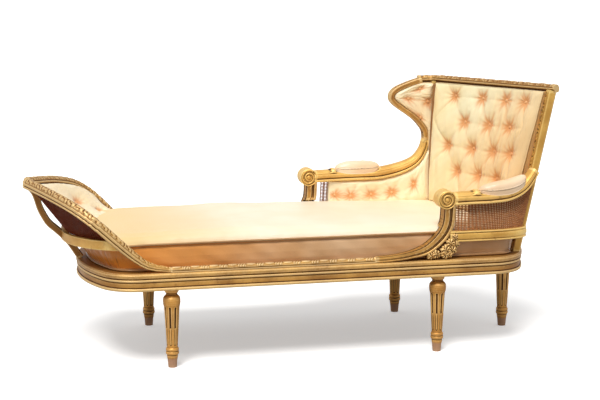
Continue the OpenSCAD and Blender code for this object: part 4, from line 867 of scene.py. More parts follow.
ARM_CY, RIBBON_Y, SCROLL_Z, SCROLL_R = 0.312, 0.334, 0.565, 0.034
NEAR_ARM_LEN, FAR_ARM_LEN, ARM_RISE = 0.352, 0.483, 0.09
BAND_Y, BAND_H = 0.333, 0.04
near_scroll_x = back_flat(0, back_v(SCROLL_Z + ARM_RISE))[0] - NEAR_ARM_LEN
far_scroll_x = FAR_FOOT[0] - 0.052 - FAR_ARM_LEN
BAND = ([[-0.5, -0.38], [-0.36, -0.5], [0.2, -0.5]] + bead(0.42, -0.47, -0.34, 0.05) + [[0.32, -0.29]]
        + bead(0.4, -0.26, 0.26, 0.1) + [[0.32, 0.29]] + bead(0.42, 0.34, 0.47, 0.05)
        + [[0.2, 0.5], [-0.36, 0.5], [-0.5, 0.38]])
band_ring = outline(BAND, 0.02, BAND_H, 0.0012)
turn_shares = np.array([[0, 1], [0.4, 1], [0.66, 0.985], [0.83, 0.95], [0.93, 0.9], [0.98, 0.84],
                        [0.99, 0.78]])
band_x0, band_x1 = near_scroll_x + SCROLL_R, back_flat(0, back_v(BAND_MID_Z))[0] + 0.018
near_band_path = spline(np.stack([lerp(band_x0, band_x1, turn_shares[:, 0]),
                                  -BAND_Y * turn_shares[:, 1],
                                  np.full(len(turn_shares), BAND_MID_Z)], -1), 3)
under_post = near_band_path[:1] - [0.02, 0, 0]
near_band_line, _ = even(np.concatenate([under_post, spline(near_band_path, 2)]), 0.005)
far_band_x = back_flat(1, back_v(BAND_MID_Z))[0]
far_band_line = along_x(far_band_x, far_scroll_x + SCROLL_R, BAND_Y, BAND_MID_Z, 60)
for side, line in (("near", near_band_line), ("far", far_band_line)):
    dress("arm_band_" + side + "_moulded", *bar(line, band_ring), gilt_plain, "gilt_wood",
          ("arm_band_" + side,), (10, 0.001), 50)

# %% [markdown]
# The arms swell behind their scrolls and thin towards the back. Each has a scooped seat for its pad,
# so the section's top is pressed down there. The long arm turns up to become the wing's neck.

# %% Arms
ARM_W, ARM_T, PAD_LEN, PAD_RECESS = 0.066, 0.046, 0.182, 0.02
NEAR_ARM = np.array([[0, 1, 0], [0.25, 1.005, 0.03], [0.5, 1.01, 0.05], [0.7, 1, 0.14],
                     [0.86, 0.965, 0.42], [0.99, 0.915, 1]])
FAR_ARM = np.array([[0, 0], [0.19, 0.03], [0.4, 0.05], [0.6, 0.07], [0.79, 0.28], [0.91, 0.58],
                    [0.976, 1.05], [1, 1.5]])
near_arm_path = spline(np.stack([near_scroll_x + NEAR_ARM[:, 0] * NEAR_ARM_LEN,
                                 -ARM_CY * NEAR_ARM[:, 1],
                                 SCROLL_Z + ARM_RISE * NEAR_ARM[:, 2]], -1), 4)
far_arm_path = spline(np.stack([far_scroll_x + FAR_ARM[:, 0] * FAR_ARM_LEN,
                                np.full(len(FAR_ARM), ARM_CY),
                                SCROLL_Z + ARM_RISE * FAR_ARM[:, 1]], -1), 4)
ARM_THIN = {"near": 0.66, "far": 42 / 66}
SCROLL_STEPS = {"near": 5, "far": 4}  # steps of the arm's path that its scroll hides


def arm_scale(share, thin):
    return lerp(1, thin, smooth01((share - 0.45) / 0.55))


def pad_span(path, start):
    shares = np.linspace(0, 1, len(path))
    return np.interp([path[0, 0] + start, path[0, 0] + start + PAD_LEN], path[:, 0], shares)


def bow01(s, power):
    return np.maximum(1 - np.abs(2 * s - 1) ** power, 0) ** 0.5


def arm_under(path, s, thin, gap):
    """A point square below the arm's centre line, under its skin, at shares s of the path."""
    s = np.asarray(s, float)
    t = unit(at_share(path, s + 0.01) - at_share(path, s - 0.01))
    side = unit(np.cross(t, [0, 0, 1]))
    drop = ARM_T / 2 * arm_scale(s, thin) + gap
    return at_share(path, s) - np.cross(side, t) * drop[..., None]


half_arm = ([[0.3, -0.5]] + bead(0.43, -0.47, -0.24, 0.05) + [[0.42, -0.2]]
            + bead(0.44, -0.16, 0.18, 0.04) + [[0.42, 0.22], [0.42, 0.3], [0.36, 0.33]]
            + dome(0.36, 0.16, 0.34, 0, 90, 7))
arm_ring = outline(half_arm + [[-x, y] for x, y in half_arm[::-1]], ARM_W, ARM_T, 0.0016)
pad_spans = {"near": pad_span(near_arm_path, 0.128), "far": pad_span(far_arm_path, 0.112)}
for side, path in (("near", near_arm_path), ("far", far_arm_path)):
    fine = spline(path, 3)
    hidden = SCROLL_STEPS[side]
    line, share = even(fine[hidden:], 0.003)
    share = np.interp(share, [0, 1], [hidden / (len(fine) - 1), 1])
    span = pad_spans[side]
    along_pad = (share - span[0]) / (span[1] - span[0])
    under_pad = (along_pad > 0) & (along_pad < 1)
    seat = np.where(under_pad, ARM_T / 2 - PAD_RECESS * bow01(along_pad, 2), 1)[:, None]
    ear = (0.006 * np.exp(-((along_pad + 0.05) / 0.05) ** 2) * (along_pad < 0))[:, None]

    def seat_and_ear(d, q):
        """Presses the section's top down to the pad's seat, and raises an ear in front of it."""
        across, up = q[..., 0], q[..., 1]
        return np.stack([across, np.minimum(up + (up > 0.012) * ear, seat)], -1)

    dress("arm_" + side + "_moulded",
          *bar(line, arm_ring, scale=arm_scale(share, ARM_THIN[side]), shape=seat_and_ear),
          gilt_arm, "gilt_wood", ("arm_" + side,), (10, 0.0012), 50)

# %% [markdown]
# The scrolls are a rolled strip: a ridge that winds in to a round eye on both faces of a drum. The
# height over the face depends on the angle and the radius.

# %% Scrolls
STRIP_START_DEG, STRIP_TURN_DEG = 55, 558
STRIP_R0, STRIP_R1 = 0.0302, 0.0102
DRUM_HALF = 0.0278  # half the width of the drum between its sunk faces


def round_ridge(away, half_width, height):
    """The height of a round ridge, at a distance away from its middle."""
    return height * np.sqrt(np.maximum(1 - (away / half_width) ** 2, 0))


def scroll_height(r, angle):
    h = np.zeros(np.broadcast(r, angle).shape)
    for lap in (0, 1):
        turn = (angle - STRIP_START_DEG) % 360 + 360 * lap
        middle = lerp(STRIP_R0, STRIP_R1, turn / STRIP_TURN_DEG)
        strip = round_ridge(r - middle, 0.0039, 0.0056)
        h = np.maximum(h, np.where(turn < STRIP_TURN_DEG, strip, 0))
    rim, eye = round_ridge(r - 0.0312, 0.0029, 0.0042), round_ridge(r, 0.0088, 0.0048)
    return np.maximum(np.maximum(h, rim), eye)


def two_faced(ring_of, tip):
    """A short drum along y, whose two faces meet at its rim. ring_of(sign) gives one face's points
    from the middle outwards, and tip is how far out the middle is."""
    return closed(np.concatenate([ring_of(-1), ring_of(1)[::-1]]), [0, -tip, 0], [0, tip, 0])


def scroll(centre, cols=160):
    radii = np.concatenate([np.linspace(0.0008, SCROLL_R, 64), [SCROLL_R]])[:, None]
    a = np.arange(cols) * 360 / cols
    face = DRUM_HALF + scroll_height(radii, a[None])
    face[-1] = 0.026
    points, faces = two_faced(
        lambda sign: np.stack([radii * np.cos(np.radians(a)), sign * face,
                               radii * np.sin(np.radians(a))], -1), 0.0338)
    return points + centre, faces


for side, x, y in (("near", near_scroll_x, -ARM_CY), ("far", far_scroll_x, ARM_CY)):
    dress("volute_" + side + "_carved", *scroll(np.array([x, y, SCROLL_Z])), gilt_arm, "gilt_wood",
          ("volute_" + side,), (10, 0.0008), 60)

# %% [markdown]
# A post sweeps from under each scroll down to the ribbon band. Its faces have a pale edge, a broad
# band and a dark channel. Inside, it is cut back where the mattress and its pad stand.

# %% Arm posts and leaf brackets
POST_SWEEP = 0.262
POST_LINE = np.array([[0.05, 1.1], [0.05, 1], [0.03, 0.694], [-0.07, 0.448], [-0.27, 0.22],
                      [-0.5, 0.125], [-0.76, 0.075], [-1, 0.06]])
POST_SCALE = [1, 1, 1, 0.95, 0.8, 0.58, 0.48, 0.45]
POST_Y = np.array([0, 0, 0, 0.2, 0.6, 0.9, 1, 1])
half_post = (bead(-0.46, -0.5, -0.36, -0.04)
             + [[-0.42, -0.44], [-0.4, -0.47], [-0.06, -0.5], [0.0, -0.46], [0.03, -0.38],
                [0.2, -0.38], [0.23, -0.46], [0.28, -0.5], [0.42, -0.5], [0.5, -0.4]])
post_ring = outline(half_post + [[x, -y] for x, y in half_post[::-1]], 0.044, 0.0541, 0.0013, 1)
MATTRESS_T, MATTRESS_TOP, MATTRESS_Y = 0.1, 0.4484, 0.31
CROWN_H, CROWN_PEAK_X = 0.04, -0.2346


def crown_at(x):
    """Rise of the mattress's crown, which is highest towards the foot end."""
    return CROWN_H * (1 - 0.6 * (np.abs(x - CROWN_PEAK_X) / 0.852) ** 1.3)


def pad_foot_z(x):
    return MATTRESS_TOP + 0.72 * crown_at(x) + CLOTH_GAP


def post_leaves(d, a, b):
    return 0.0012 * leaves(d, b, 0.03, 0.3) * (np.abs(a + 0.22) < 0.16) * (np.abs(b) > 0.9)


REBATE_Y = MATTRESS_Y + 0.0006  # the posts' inner faces, beside the mattress
for side, x, sign in (("near", near_scroll_x, -1), ("far", far_scroll_x, 1)):
    ctrl = np.stack([x + POST_LINE[:, 0] * POST_SWEEP, sign * lerp(ARM_CY, RIBBON_Y, POST_Y),
                     rail_top + POST_LINE[:, 1] * 0.183], -1)
    line, share = even(spline(ctrl, 4), 0.003)
    size = np.interp(share, np.linspace(0, 1, len(POST_SCALE)), POST_SCALE)
    points, faces = bar(line, post_ring, up=(0, 1, 0), scale=size, carve=post_leaves)
    low_down = points[:, 2] < pad_foot_z(points[:, 0]) + 0.001
    points[low_down & (np.abs(points[:, 1]) < REBATE_Y), 1] = sign * REBATE_Y
    points[:, 2] = np.maximum(points[:, 2], rail_top)
    dress("arm_post_" + side + "_carved", points, faces, gilt, "gilt_wood", ("arm_post_" + side,),
          (12, 0.0012), 50)

# Each leaf of a bracket: its place along and up and its radius, as shares of the post's sweep, and
# the way it points, in radians
LOBES = [[-0.21, 0.06, 0.075, 3.1], [-0.13, 0.07, 0.09, 2.6], [-0.04, 0.08, 0.085, -0.4],
         [0.0, 0.12, 0.1, 2.3], [0.07, 0.13, 0.085, 0.2], [0.06, 0.21, 0.09, 1.9],
         [0.12, 0.2, 0.075, 0.7], [0.12, 0.29, 0.075, 1.7], [0.03, 0.07, 0.06, -0.2]]
LEAF_VEINS = 8


def lobe(centre, radius, axis, cols=60):
    """A leaf: a short drum, longer along its axis, whose two faces are domed and veined."""
    share = np.concatenate([np.linspace(0.02, 1, 18), [1]])[:, None]
    a = np.arange(cols) / cols * 2 * math.pi
    turn = np.abs((a - axis + math.pi) % (2 * math.pi) - math.pi)
    flute = 0.5 + 0.5 * np.cos(LEAF_VEINS * turn - 5 * share)
    domed = 0.0066 * np.sqrt(np.maximum(1 - share ** 2, 0)) * (0.4 + 0.6 * flute)
    midrib = 0.01 * np.exp(-(turn / 0.3) ** 2) * share * (1 - share)
    h = 0.0085 + domed + midrib
    pointed = 0.5 + 0.55 * np.cos(turn / 2) ** 4
    r = radius * share * pointed * (1 - 0.2 * (1 - flute) * share)
    points, faces = two_faced(
        lambda sign: np.stack([r * np.cos(a), sign * h, r * np.sin(a)], -1), 0.0112)
    return points + centre, faces


def joined(parts):
    points, faces, start = [], [], 0
    for p, f in parts:
        points.append(p)
        faces += [[i + start for i in face] for face in f]
        start += len(p)
    return np.concatenate(points), faces


for side, x, sign in (("near", near_scroll_x, -1), ("far", far_scroll_x, 1)):
    lobes = []
    for a, b, r, axis in np.array(LOBES) * [POST_SWEEP, POST_SWEEP, POST_SWEEP, 1]:
        lobes.append(lobe([x + a, sign * RIBBON_Y, rail_top + max(b, r * 0.6)], r, axis))
    dress("acanthus_" + side + "_carved", *joined(lobes), gilt, "gilt_wood", ("acanthus_" + side,),
          (8, 0.001), 60)

# %% [markdown]
# The wing's frame is a thin scrolled bar with two ridges, carved along its front.

# %% Wing frame
WING = np.array([[0, 0], [0.025, 0.143], [0.144, 0.265], [0.344, 0.396], [0.8, 0.612],
                 [0.885, 0.73], [0.77, 0.832], [0.42, 0.93], [0.13, 0.985]])
WING_REACH = 0.16
WING_STEPS = 3 * (len(WING) - 1)
wing_neck_x, _, wing_neck_z = far_arm_path[-1]
wing_ctrl = np.stack([wing_neck_x - WING[:, 0] * WING_REACH, np.full(len(WING), ARM_CY),
                      lerp(wing_neck_z, crest_end[2], WING[:, 1])], -1)
wing_path = spline(wing_ctrl, 3)
half_wing = [[-0.5, -0.4], [-0.3, -0.5], [0.2, -0.5], [0.42, -0.47], [0.5, -0.4], [0.42, -0.3],
             [0.36, -0.26], [0.42, -0.2], [0.5, -0.06]]
wing_ring = outline(half_wing + [[x, -y] for x, y in half_wing[::-1]], 0.02, 0.042, 0.0013)


def wing_leaves(d, x, y):
    return (0.0012 * leaves(d, y * 3, 0.016, 0.4) - 0.0005) * (np.abs(y) < 0.34) * (x > 0.6)


wing_line, _ = even(spline(wing_path, 3), 0.003)
dress("wing_frame_carved", *bar(wing_line, wing_ring, up=(0, 1, 0), carve=wing_leaves), gilt,
      "gilt_wood", ("wing_frame",), (10, 0.001), 50)

# %% [markdown]
# Cane is woven from split strands: pairs both ways and a single strand on each slant. The script
# lays the centre lines on the panel, and a Geometry Nodes tree turns every line into a strand.

# %% Woven cane
def new_tree(name, sockets):
    """A Geometry Nodes group with named inputs; returns it with its input and output nodes."""
    tree = bpy.data.node_groups.new(name, "GeometryNodeTree")
    tree.interface.new_socket("Geometry", in_out="INPUT", socket_type="NodeSocketGeometry")
    for label, kind in sockets:
        tree.interface.new_socket(label, in_out="INPUT", socket_type=kind)
    tree.interface.new_socket("Geometry", in_out="OUTPUT", socket_type="NodeSocketGeometry")
    return tree, tree.nodes.new("NodeGroupInput"), tree.nodes.new("NodeGroupOutput")


def run_tree(obj, tree, values):
    """Runs the tree on the object with those inputs, and keeps the result as a plain mesh."""
    modifier = obj.modifiers.new(tree.name, "NODES")
    modifier.node_group = tree
    for item in tree.interface.items_tree:
        if item.in_out == "INPUT" and item.name in values:
            modifier[item.identifier] = values[item.name]
    bpy.context.view_layer.update()
    done = obj.evaluated_get(bpy.context.evaluated_depsgraph_get())
    mesh = bpy.data.meshes.new_from_object(done)
    obj.modifiers.clear()
    obj.data = mesh
    return obj


def strand_tree():
    tree, start, end = new_tree("cane_strands", [("Radius", "NodeSocketFloat"),
                                                 ("Finish", "NodeSocketMaterial")])
    link = tree.links.new
    curve = tree.nodes.new("GeometryNodeMeshToCurve")
    circle = tree.nodes.new("GeometryNodeCurvePrimitiveCircle")
    circle.inputs["Resolution"].default_value = 5
    solid = tree.nodes.new("GeometryNodeCurveToMesh")
    solid.inputs["Fill Caps"].default_value = True
    finish = tree.nodes.new("GeometryNodeSetMaterial")
    link(start.outputs["Geometry"], curve.inputs["Mesh"])
    link(start.outputs["Radius"], circle.inputs["Radius"])
    link(curve.outputs["Curve"], solid.inputs["Curve"])
    link(circle.outputs["Curve"], solid.inputs["Profile Curve"])
    link(solid.outputs["Mesh"], finish.inputs["Geometry"])
    link(start.outputs["Finish"], finish.inputs["Material"])
    link(finish.outputs["Geometry"], end.inputs["Geometry"])
    return tree


cane_tree = strand_tree()
CANE_PITCH = np.array([0.0092, 0.0084])
STRAND_R = 0.0008
PAIR_HALF = 0.00095  # from the middle of a pair to each of its strands
OVER, SLANT_OVER = 0.0005, 0.0008  # how far strands of each way lie before the panel's middle
STRAND_STEP = 0.014
SHORTEST_SLANT = 0.06  # a slanting strand that crosses less of the height is left out


def weave(sheet, width, height, pitch):
    """Centre lines of the strands on a panel. sheet(s, t, d) gives a place at shares and a depth."""
    lines = []
    for axis in (0, 1):
        size = (width, height)[axis]
        for k in range(int(size / pitch[axis]) + 1):
            for side in (-PAIR_HALF, PAIR_HALF):
                x = k * pitch[axis] + side
                if 0 < x < size:
                    ends = [[x, 0], [x, height]] if axis == 0 else [[0, x], [width, x]]
                    lines.append((*ends, OVER if axis else -OVER))
    run = height * pitch[0] / pitch[1]
    for slope in (1, -1):
        for k in range(-int(run / pitch[0]) - 1, int((width + run) / pitch[0]) + 1):
            a = (k + 0.5) * pitch[0]
            b = a + slope * run
            t0, t1 = sorted((-a / (b - a), (width - a) / (b - a)))
            t0, t1 = max(t0, 0), min(t1, 1)
            if t1 - t0 > SHORTEST_SLANT:
                lines.append(([lerp(a, b, t0), t0 * height], [lerp(a, b, t1), t1 * height],
                              SLANT_OVER * slope))
    points, edges, count = [], [], 0
    for a, b, depth in lines:
        n = max(int(math.dist(a, b) / STRAND_STEP), 2)
        t = np.linspace(0, 1, n + 1)
        points.append(sheet(lerp(a[0], b[0], t) / width, lerp(a[1], b[1], t) / height, depth))
        edges += [(count + i, count + i + 1) for i in range(n)]
        count += n + 1
    return np.concatenate(points), edges


def cane_panel(name, sheet, width, height, material, replaces, pitch=CANE_PITCH):
    points, edges = weave(sheet, width, height, pitch)
    mesh = bpy.data.meshes.new(name)
    mesh.from_pydata(points.tolist(), edges, [])
    obj = add_object(name, mesh)
    run_tree(obj, cane_tree, {"Radius": STRAND_R, "Finish": material})
    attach(obj, "root")
    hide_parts(*replaces)
    print(name, len(obj.data.polygons), "faces")


def times(d, way):
    """Distances d along directions, over any grid of points."""
    return np.asarray(d, float)[..., None] * way


def left_of(p, q):
    """The level direction to the left of the way from p to q."""
    way = unit((q - p) * [1, 1, 0])
    return np.stack([-way[..., 1], way[..., 0], np.zeros(way.shape[:-1])], -1)


def near_sheet(s, t):
    low = at_share(near_band_path, s * 0.66) + [0, 0, BAND_H / 2]
    high = arm_under(near_arm_path, lerp(0.1, 0.97, s), ARM_THIN["near"], JOINT_GAP)
    return lerp(low, high, np.asarray(t, float)[..., None])


LOOK = 0.05  # how far ahead along a panel its direction is taken


def near_inner(s, t, d):
    """A place on the near arm's panel, d inside its outer face."""
    s, t = np.broadcast_arrays(np.asarray(s, float), np.asarray(t, float))
    here = near_sheet(s, t)
    ahead = np.where((s < 1)[..., None], near_sheet(np.minimum(s + LOOK, 1), t),
                     2 * here - near_sheet(s * 0 + 1 - LOOK, t))
    return here + times(d, left_of(here, ahead))


def far_inner(s, t, d):
    """A place on the far arm's panel, d inside its outer face."""
    high = arm_under(far_arm_path, lerp(0.09, 0.985, np.asarray(s, float)), ARM_THIN["far"],
                     JOINT_GAP)
    low = high * [1, 0, 0] + [0, BAND_Y, BAND_MID_Z + BAND_H / 2 + JOINT_GAP]
    out = lerp(low, high * [1, 0, 1] + [0, ARM_CY, 0], np.asarray(t, float)[..., None])
    return out - times(d, np.array([0, 1, 0]))


def wing_in(share, d):
    """Places d inside the wing's frame."""
    p = at_share(wing_path, share)
    look = 0.5 / WING_STEPS
    way = unit(at_share(wing_path, share + look) - at_share(wing_path, share - look))
    return p + times(d, np.stack([way[..., 2], np.zeros(way.shape[:-1]), -way[..., 0]], -1))


def wing_sheet(s, t, d):
    p = wing_in(lerp(0.08, 0.9, t), 0.01 + JOINT_GAP)
    back = back_flat(1, back_v(p[..., 2]))[..., 0] - CLOTH_GAP
    x = lerp(p[..., 0], np.maximum(back, p[..., 0] + 0.004), s)
    return np.stack([x, 0.3185 + d + 0 * x, p[..., 2]], -1)


def back_sheet(s, t, d):
    v0 = back_v(BAND_MID_Z + BAND_H / 2)
    return back_pt(lerp(STILE_U, 1 - STILE_U, s), lerp(v0, CREST_V, t), 0.0195 + d + 0 * s)


FOCUS_X = -0.4372  # the foot end curves round this place


def inward(p, d):
    way = unit(np.stack([FOCUS_X - p[..., 0], -p[..., 1], np.zeros(p.shape[:-1])], -1))
    return p + times(d, way)


RIM_FROM, RIM_TO = 0.985, 0.42  # the stretch of the rims over the panels, from the knot down


def rim_under(t, gap):
    """Under the rims at t, which runs from the near side, -1, round to the far side, 1."""
    share = lerp(RIM_FROM, RIM_TO, np.abs(t))
    sides = []
    for path in (rim_near_path, rim_far_path):
        way = unit(at_share(path, share + 0.01) - at_share(path, share - 0.01))
        side = unit(np.cross(way, [0, 0, 1]))
        sides.append(at_share(path, share) - np.cross(side, way) * gap)
    return np.where((t < 0)[..., None], sides[0], sides[1])


def shell(t, v, d):
    t, v = np.broadcast_arrays(np.asarray(t, float), np.asarray(v, float))
    low = at_share(foot_band_half, 1 - np.abs(t)) + [0, 0, 0.017]
    low = low * np.where(t[..., None] < 0, [1, -1, 1], [1, 1, 1])
    return inward(lerp(low, rim_under(t, RIM_H / 2 + JOINT_GAP), v[..., None]), d)


def foot_sheet(t0, t1):
    return lambda s, t, d: shell(lerp(t0, t1, s), t, 0.0075 + d)


cane_panel("arm_cane_near_woven", near_inner, 0.3, 0.13, cane, ("arm_cane_near",))
cane_panel("arm_cane_far_woven", far_inner, 0.42, 0.13, cane, ("arm_cane_far",))
cane_panel("wing_cane_woven", wing_sheet, 0.12, 0.24, cane, ("wing_cane",))
cane_panel("back_cane_woven", back_sheet, 0.52, 0.46, cane, ("back_cane",), CANE_PITCH * 1.3)
cane_panel("foot_cane_near_woven", foot_sheet(-0.96, -0.075), 0.36, 0.12, cane_dark,
           ("foot_cane_near",))
cane_panel("foot_cane_far_woven", foot_sheet(0.075, 0.96), 0.36, 0.12, cane_dark,
           ("foot_cane_far",))

# %% [markdown]
# In buttoned upholstery, a fold runs from each button to every neighbour that is near enough, and
# from the outer buttons off the cloth. Cloth stands up between folds, sinks in a sharp line along
# them, goes deepest under a button, and gathers round the button in a fan of small creases.

# %% Tufting
FOLD_R, FOLD_SOFT_R = 0.0035, 0.011
FAN_R, FAN_FROM = 0.024, 0.007
BROAD, PIT, FOLD, FAN = 0.38, 0.62, 0.22, 0.075  # what each makes of the whole depth


def buttoned(x, y, places, ends, reach, seed):
    """Height share of buttoned cloth over a flat plan in metres: 1 between folds, 0 under a button.
    places are the buttons, ends are points off the cloth that folds run to, reach joins neighbours."""
    places, ends = np.asarray(places, float), np.asarray(ends, float)
    pick = np.random.default_rng(seed)
    r = np.hypot(x[..., None] - places[:, 0], y[..., None] - places[:, 1])
    nearest = r.argmin(-1)
    close = r.min(-1)
    angle = np.arctan2(y - places[nearest, 1], x - places[nearest, 0])
    turns = pick.uniform(0, 2 * math.pi, len(places))
    counts = pick.integers(9, 13, len(places))
    rays = np.cos(angle * counts[nearest] + turns[nearest])
    everything = np.concatenate([places, ends])
    fold = np.zeros_like(x)
    for i in range(len(places)):
        for j in range(i + 1, len(everything)):
            way = everything[j] - places[i]
            length = np.hypot(*way)
            if length > reach:
                continue
            from_x, from_y = x - places[i, 0], y - places[i, 1]
            u = np.clip((from_x * way[0] + from_y * way[1]) / length ** 2, 0, 1)
            bow = 0.015 * length * np.sin(math.pi * u) * pick.uniform(-1, 1)
            off = np.abs(np.hypot(from_x - u * way[0], from_y - u * way[1]) - bow)
            deep = 0.3 + 0.7 * np.abs(2 * u - 1) ** 1.5 if j < len(places) else 1 - 0.5 * u
            line = 0.55 * np.exp(-off / FOLD_R) + 0.45 * np.exp(-(off / FOLD_SOFT_R) ** 2)
            fold = np.maximum(fold, deep * line)
    pit = np.minimum(np.exp(-(r / (0.19 * reach)) ** 1.3).sum(-1), 1)
    broad = 1 - np.minimum(np.exp(-(r / (0.42 * reach)) ** 2).sum(-1), 1)
    fan = np.exp(-close / FAN_R) * (1 - np.exp(-(close / FAN_FROM) ** 2)) * rays
    return BROAD * broad + (PIT - FOLD * fold) * (1 - pit) + FAN * fan


def edge_roll(u, v, share):
    """A round edge: 0 at the edges of the unit square, 1 from that share inwards."""
    inside = np.clip(np.minimum(np.minimum(u, 1 - u), np.minimum(v, 1 - v)) / share, 0, 1)
    return np.sqrt(1 - (1 - inside) ** 2)


def ripple(x, y, size, seed, waves=14):
    """A small seeded unevenness, about -1 to 1, for cloth that was pulled by hand."""
    pick = np.random.default_rng(seed)
    out = 0
    for _ in range(waves):
        angle, phase = pick.uniform(0, 2 * math.pi, 2)
        k = 2 * math.pi / (size * pick.uniform(0.6, 1.8))
        out = out + np.sin(k * (x * math.cos(angle) + y * math.sin(angle)) + phase)
    return out / math.sqrt(waves)


def grid(n, m):
    """Shares over a grid of n by m cells, closer together at its edges."""
    s, t = np.linspace(0, 1, n + 1), np.linspace(0, 1, m + 1)
    ease = [q - 0.6 * np.sin(2 * math.pi * q) / (2 * math.pi) for q in (s, t)]
    return np.meshgrid(*ease, indexing="ij")


def pillow(front, back, bulge=0.002, bands=5):
    """A closed body between two equal grids, whose edge bulges a little."""
    n, m = front.shape[:2]
    top, bottom = front.reshape(-1, 3), back.reshape(-1, 3)
    index = np.arange(n * m).reshape(n, m)
    border = np.concatenate([index[0], index[1:, -1], index[-1, -2::-1], index[-2:0:-1, 0]])
    i, j = np.divmod(border, m)
    inner = np.clip(i, 3, n - 4) * m + np.clip(j, 3, m - 4)
    out = unit(top[border] - top[inner])
    rings = [lerp(top[border], bottom[border], k) + out * bulge * math.sin(math.pi * k)
             for k in np.arange(1, bands) / bands]
    points = np.concatenate([top, bottom] + rings)
    front_faces = grid_faces(n, m)
    faces = front_faces.tolist() + (front_faces[:, ::-1] + n * m).tolist()
    added = 2 * n * m + np.arange((bands - 1) * len(border)).reshape(bands - 1, -1)
    loops = [border, *added, border + n * m]
    for a, b in zip(loops[:-1], loops[1:]):
        faces += np.stack([np.roll(a, -1), a, b, np.roll(b, -1)], -1)[:, ::-1].tolist()
    a, b, c, d = points[np.array(faces)].transpose(1, 0, 2)
    inside_out = np.einsum("ij,ij->", a, np.cross(b, c) + np.cross(c, d)) < 0
    return points, [face[::-1] for face in faces] if inside_out else faces


def soft(name, shape, material, replaces, fill=0.8, hollows=(30, 0.004), pits=None):
    """pits is the first point of the buttoned face and its height shares, which lay a warm
    painted shade round the buttons.
    """
    obj = dress(name, *shape, material, "satin", replaces, hollows)
    if pits:
        first, h = pits
        value = np.minimum(0.5 * get_hollows(obj), 0.15)
        # Painted shade: the colour warms towards each button.
        value[first:first + h.size] += np.clip(1.02 - h.ravel(), 0, 1) ** 2.1
        set_hollows(obj, value)
    return obj


# %% [markdown]
# The back cushion is thick at the seat and thin under the crest. Its columns of buttons close up
# towards the short arm, as the photograph shows.

# %% Back cushion
CUSHION_V = [back_v(MATTRESS_TOP + crown_at(FAR_FOOT[0]) + CLOTH_GAP),
             CREST_V - CLOTH_GAP / NEAR_RISE]
COL, ROW = (0.8, -0.145, 0.0058), (0.905, -0.205)
ROWS, COLS = 4, 7
BACK_SIZE = np.array([0.56, 0.49])
BUTTON_DEPTH = 0.036


def back_thick(t):
    return 0.018 + 0.05 * (1 - t * t)


def cushion_u(s, t, near):
    """The far edge leans in towards the crest."""
    return lerp(near, lerp(0.955, 0.925, t), s)


def cushion_pt(s, t, w, near=STILE_U - 0.006):
    """Its foot tucks down behind the mattress."""
    v = lerp(CUSHION_V[0], CUSHION_V[1], t) - 0.022 * np.maximum(1 - t / 0.08, 0)
    return back_pt(cushion_u(s, t, near), v, w)


def lattice(rows, cols):
    """Shares of button places, for rows and columns counted from the top and the far side."""
    return np.array([(COL[0] + COL[1] * j + COL[2] * j * j, ROW[0] + ROW[1] * m)
                     for m in rows for j in cols if (m + j) % 2 == 0])


back_shares = lattice(range(ROWS), range(COLS))
back_places = back_shares * BACK_SIZE
around = lattice(range(-1, ROWS + 1), range(-1, COLS + 1)) * BACK_SIZE
back_ends = [q for q in around if np.hypot(*(back_places - q).T).min() > 0.01]


def cushion_height(s, t):
    return buttoned(s * BACK_SIZE[0], t * BACK_SIZE[1], back_places, back_ends, 0.15, 11)


def cushion_front(s, t):
    roll, full = edge_roll(s, t, 0.12), back_thick(t)
    x, y = s * BACK_SIZE[0], t * BACK_SIZE[1]
    depth = BUTTON_DEPTH * (0.5 + 0.5 * full / back_thick(0))
    w = depth * roll * (1 - cushion_height(s, t)) - full * lerp(0.35, 1, roll)
    folded = 0.0012 * (1 - s) * roll * ripple(x * 2, y * 0.3, 0.035, 4)
    return cushion_pt(s, t, w + 0.0007 * ripple(x, y * 0.5, 0.03, 3) + folded)


def cushion_back(s, t):
    near = STILE_U + 0.006
    at_stile = cushion_u(s, t, near) > 0.97 * (1 - STILE_U)
    return cushion_pt(s, t, np.where(at_stile, -CLOTH_GAP, 0.0145), near)


s, t = grid(210, 190)
soft("back_cushion_tufted", pillow(cushion_front(s, t), cushion_back(s, t)), back_satin,
     ("back_cushion",), pits=(0, cushion_height(s, t)))
# A dark cord lies in the crease at the back cushion's far edge, as painted shade.
crease_t = np.linspace(0.01, 0.995, 120)
crease = cushion_pt(np.ones(120), crease_t, -0.55 * back_thick(crease_t))
cord_ring = arc(0, 0, 0.0062, 0, 330, 11)
dress("back_crease_cord", *bar(crease, cord_ring, up=(1, 0, 0)), crease_satin, "satin")

# %% [markdown]
# The wing's pad fills the curl of the frame, and the long arm's pad is buttoned in one row.

# %% Wing pad and side pads
def crease_x(v):
    t = (v - CUSHION_V[0]) / (CUSHION_V[1] - CUSHION_V[0])
    return cushion_pt(1, t, -0.35 * back_thick(t))[..., 0]


def back_face_x(y, v):
    a, b = lerp(NEAR_FOOT, NEAR_HEAD, v[..., None]), lerp(FAR_FOOT, FAR_HEAD, v[..., None])
    return lerp(a[..., 0], b[..., 0], (y - a[..., 1]) / (b[..., 1] - a[..., 1]))


def wing_pt(s, t, d):
    p = wing_in(t * (WING_STEPS - 0.4) / WING_STEPS, 0.01 + CLOTH_GAP)
    p[..., 2] -= 0.06 * np.maximum(1 - t / 0.1, 0)
    v = back_v(p[..., 2])
    y = ARM_CY - d
    x1 = np.maximum(np.minimum(crease_x(v), back_face_x(y, v)) - CLOTH_GAP, p[..., 0] + 0.01)
    return np.stack([lerp(p[..., 0], x1, s), y + 0 * x1, p[..., 2]], -1)


WING_SIZE = np.array([0.14, 0.3])
WING_PLACES = np.array([[0.525, 0.833], [0.86, 0.5], [0.14, 0.333], [0.342, 0.558]])
WING_ENDS = np.array([[1.1, 0.8], [-0.1, 0.62], [0.55, 1.1], [1.05, 0.22], [0.5, -0.1],
                      [0.15, 0.92]])


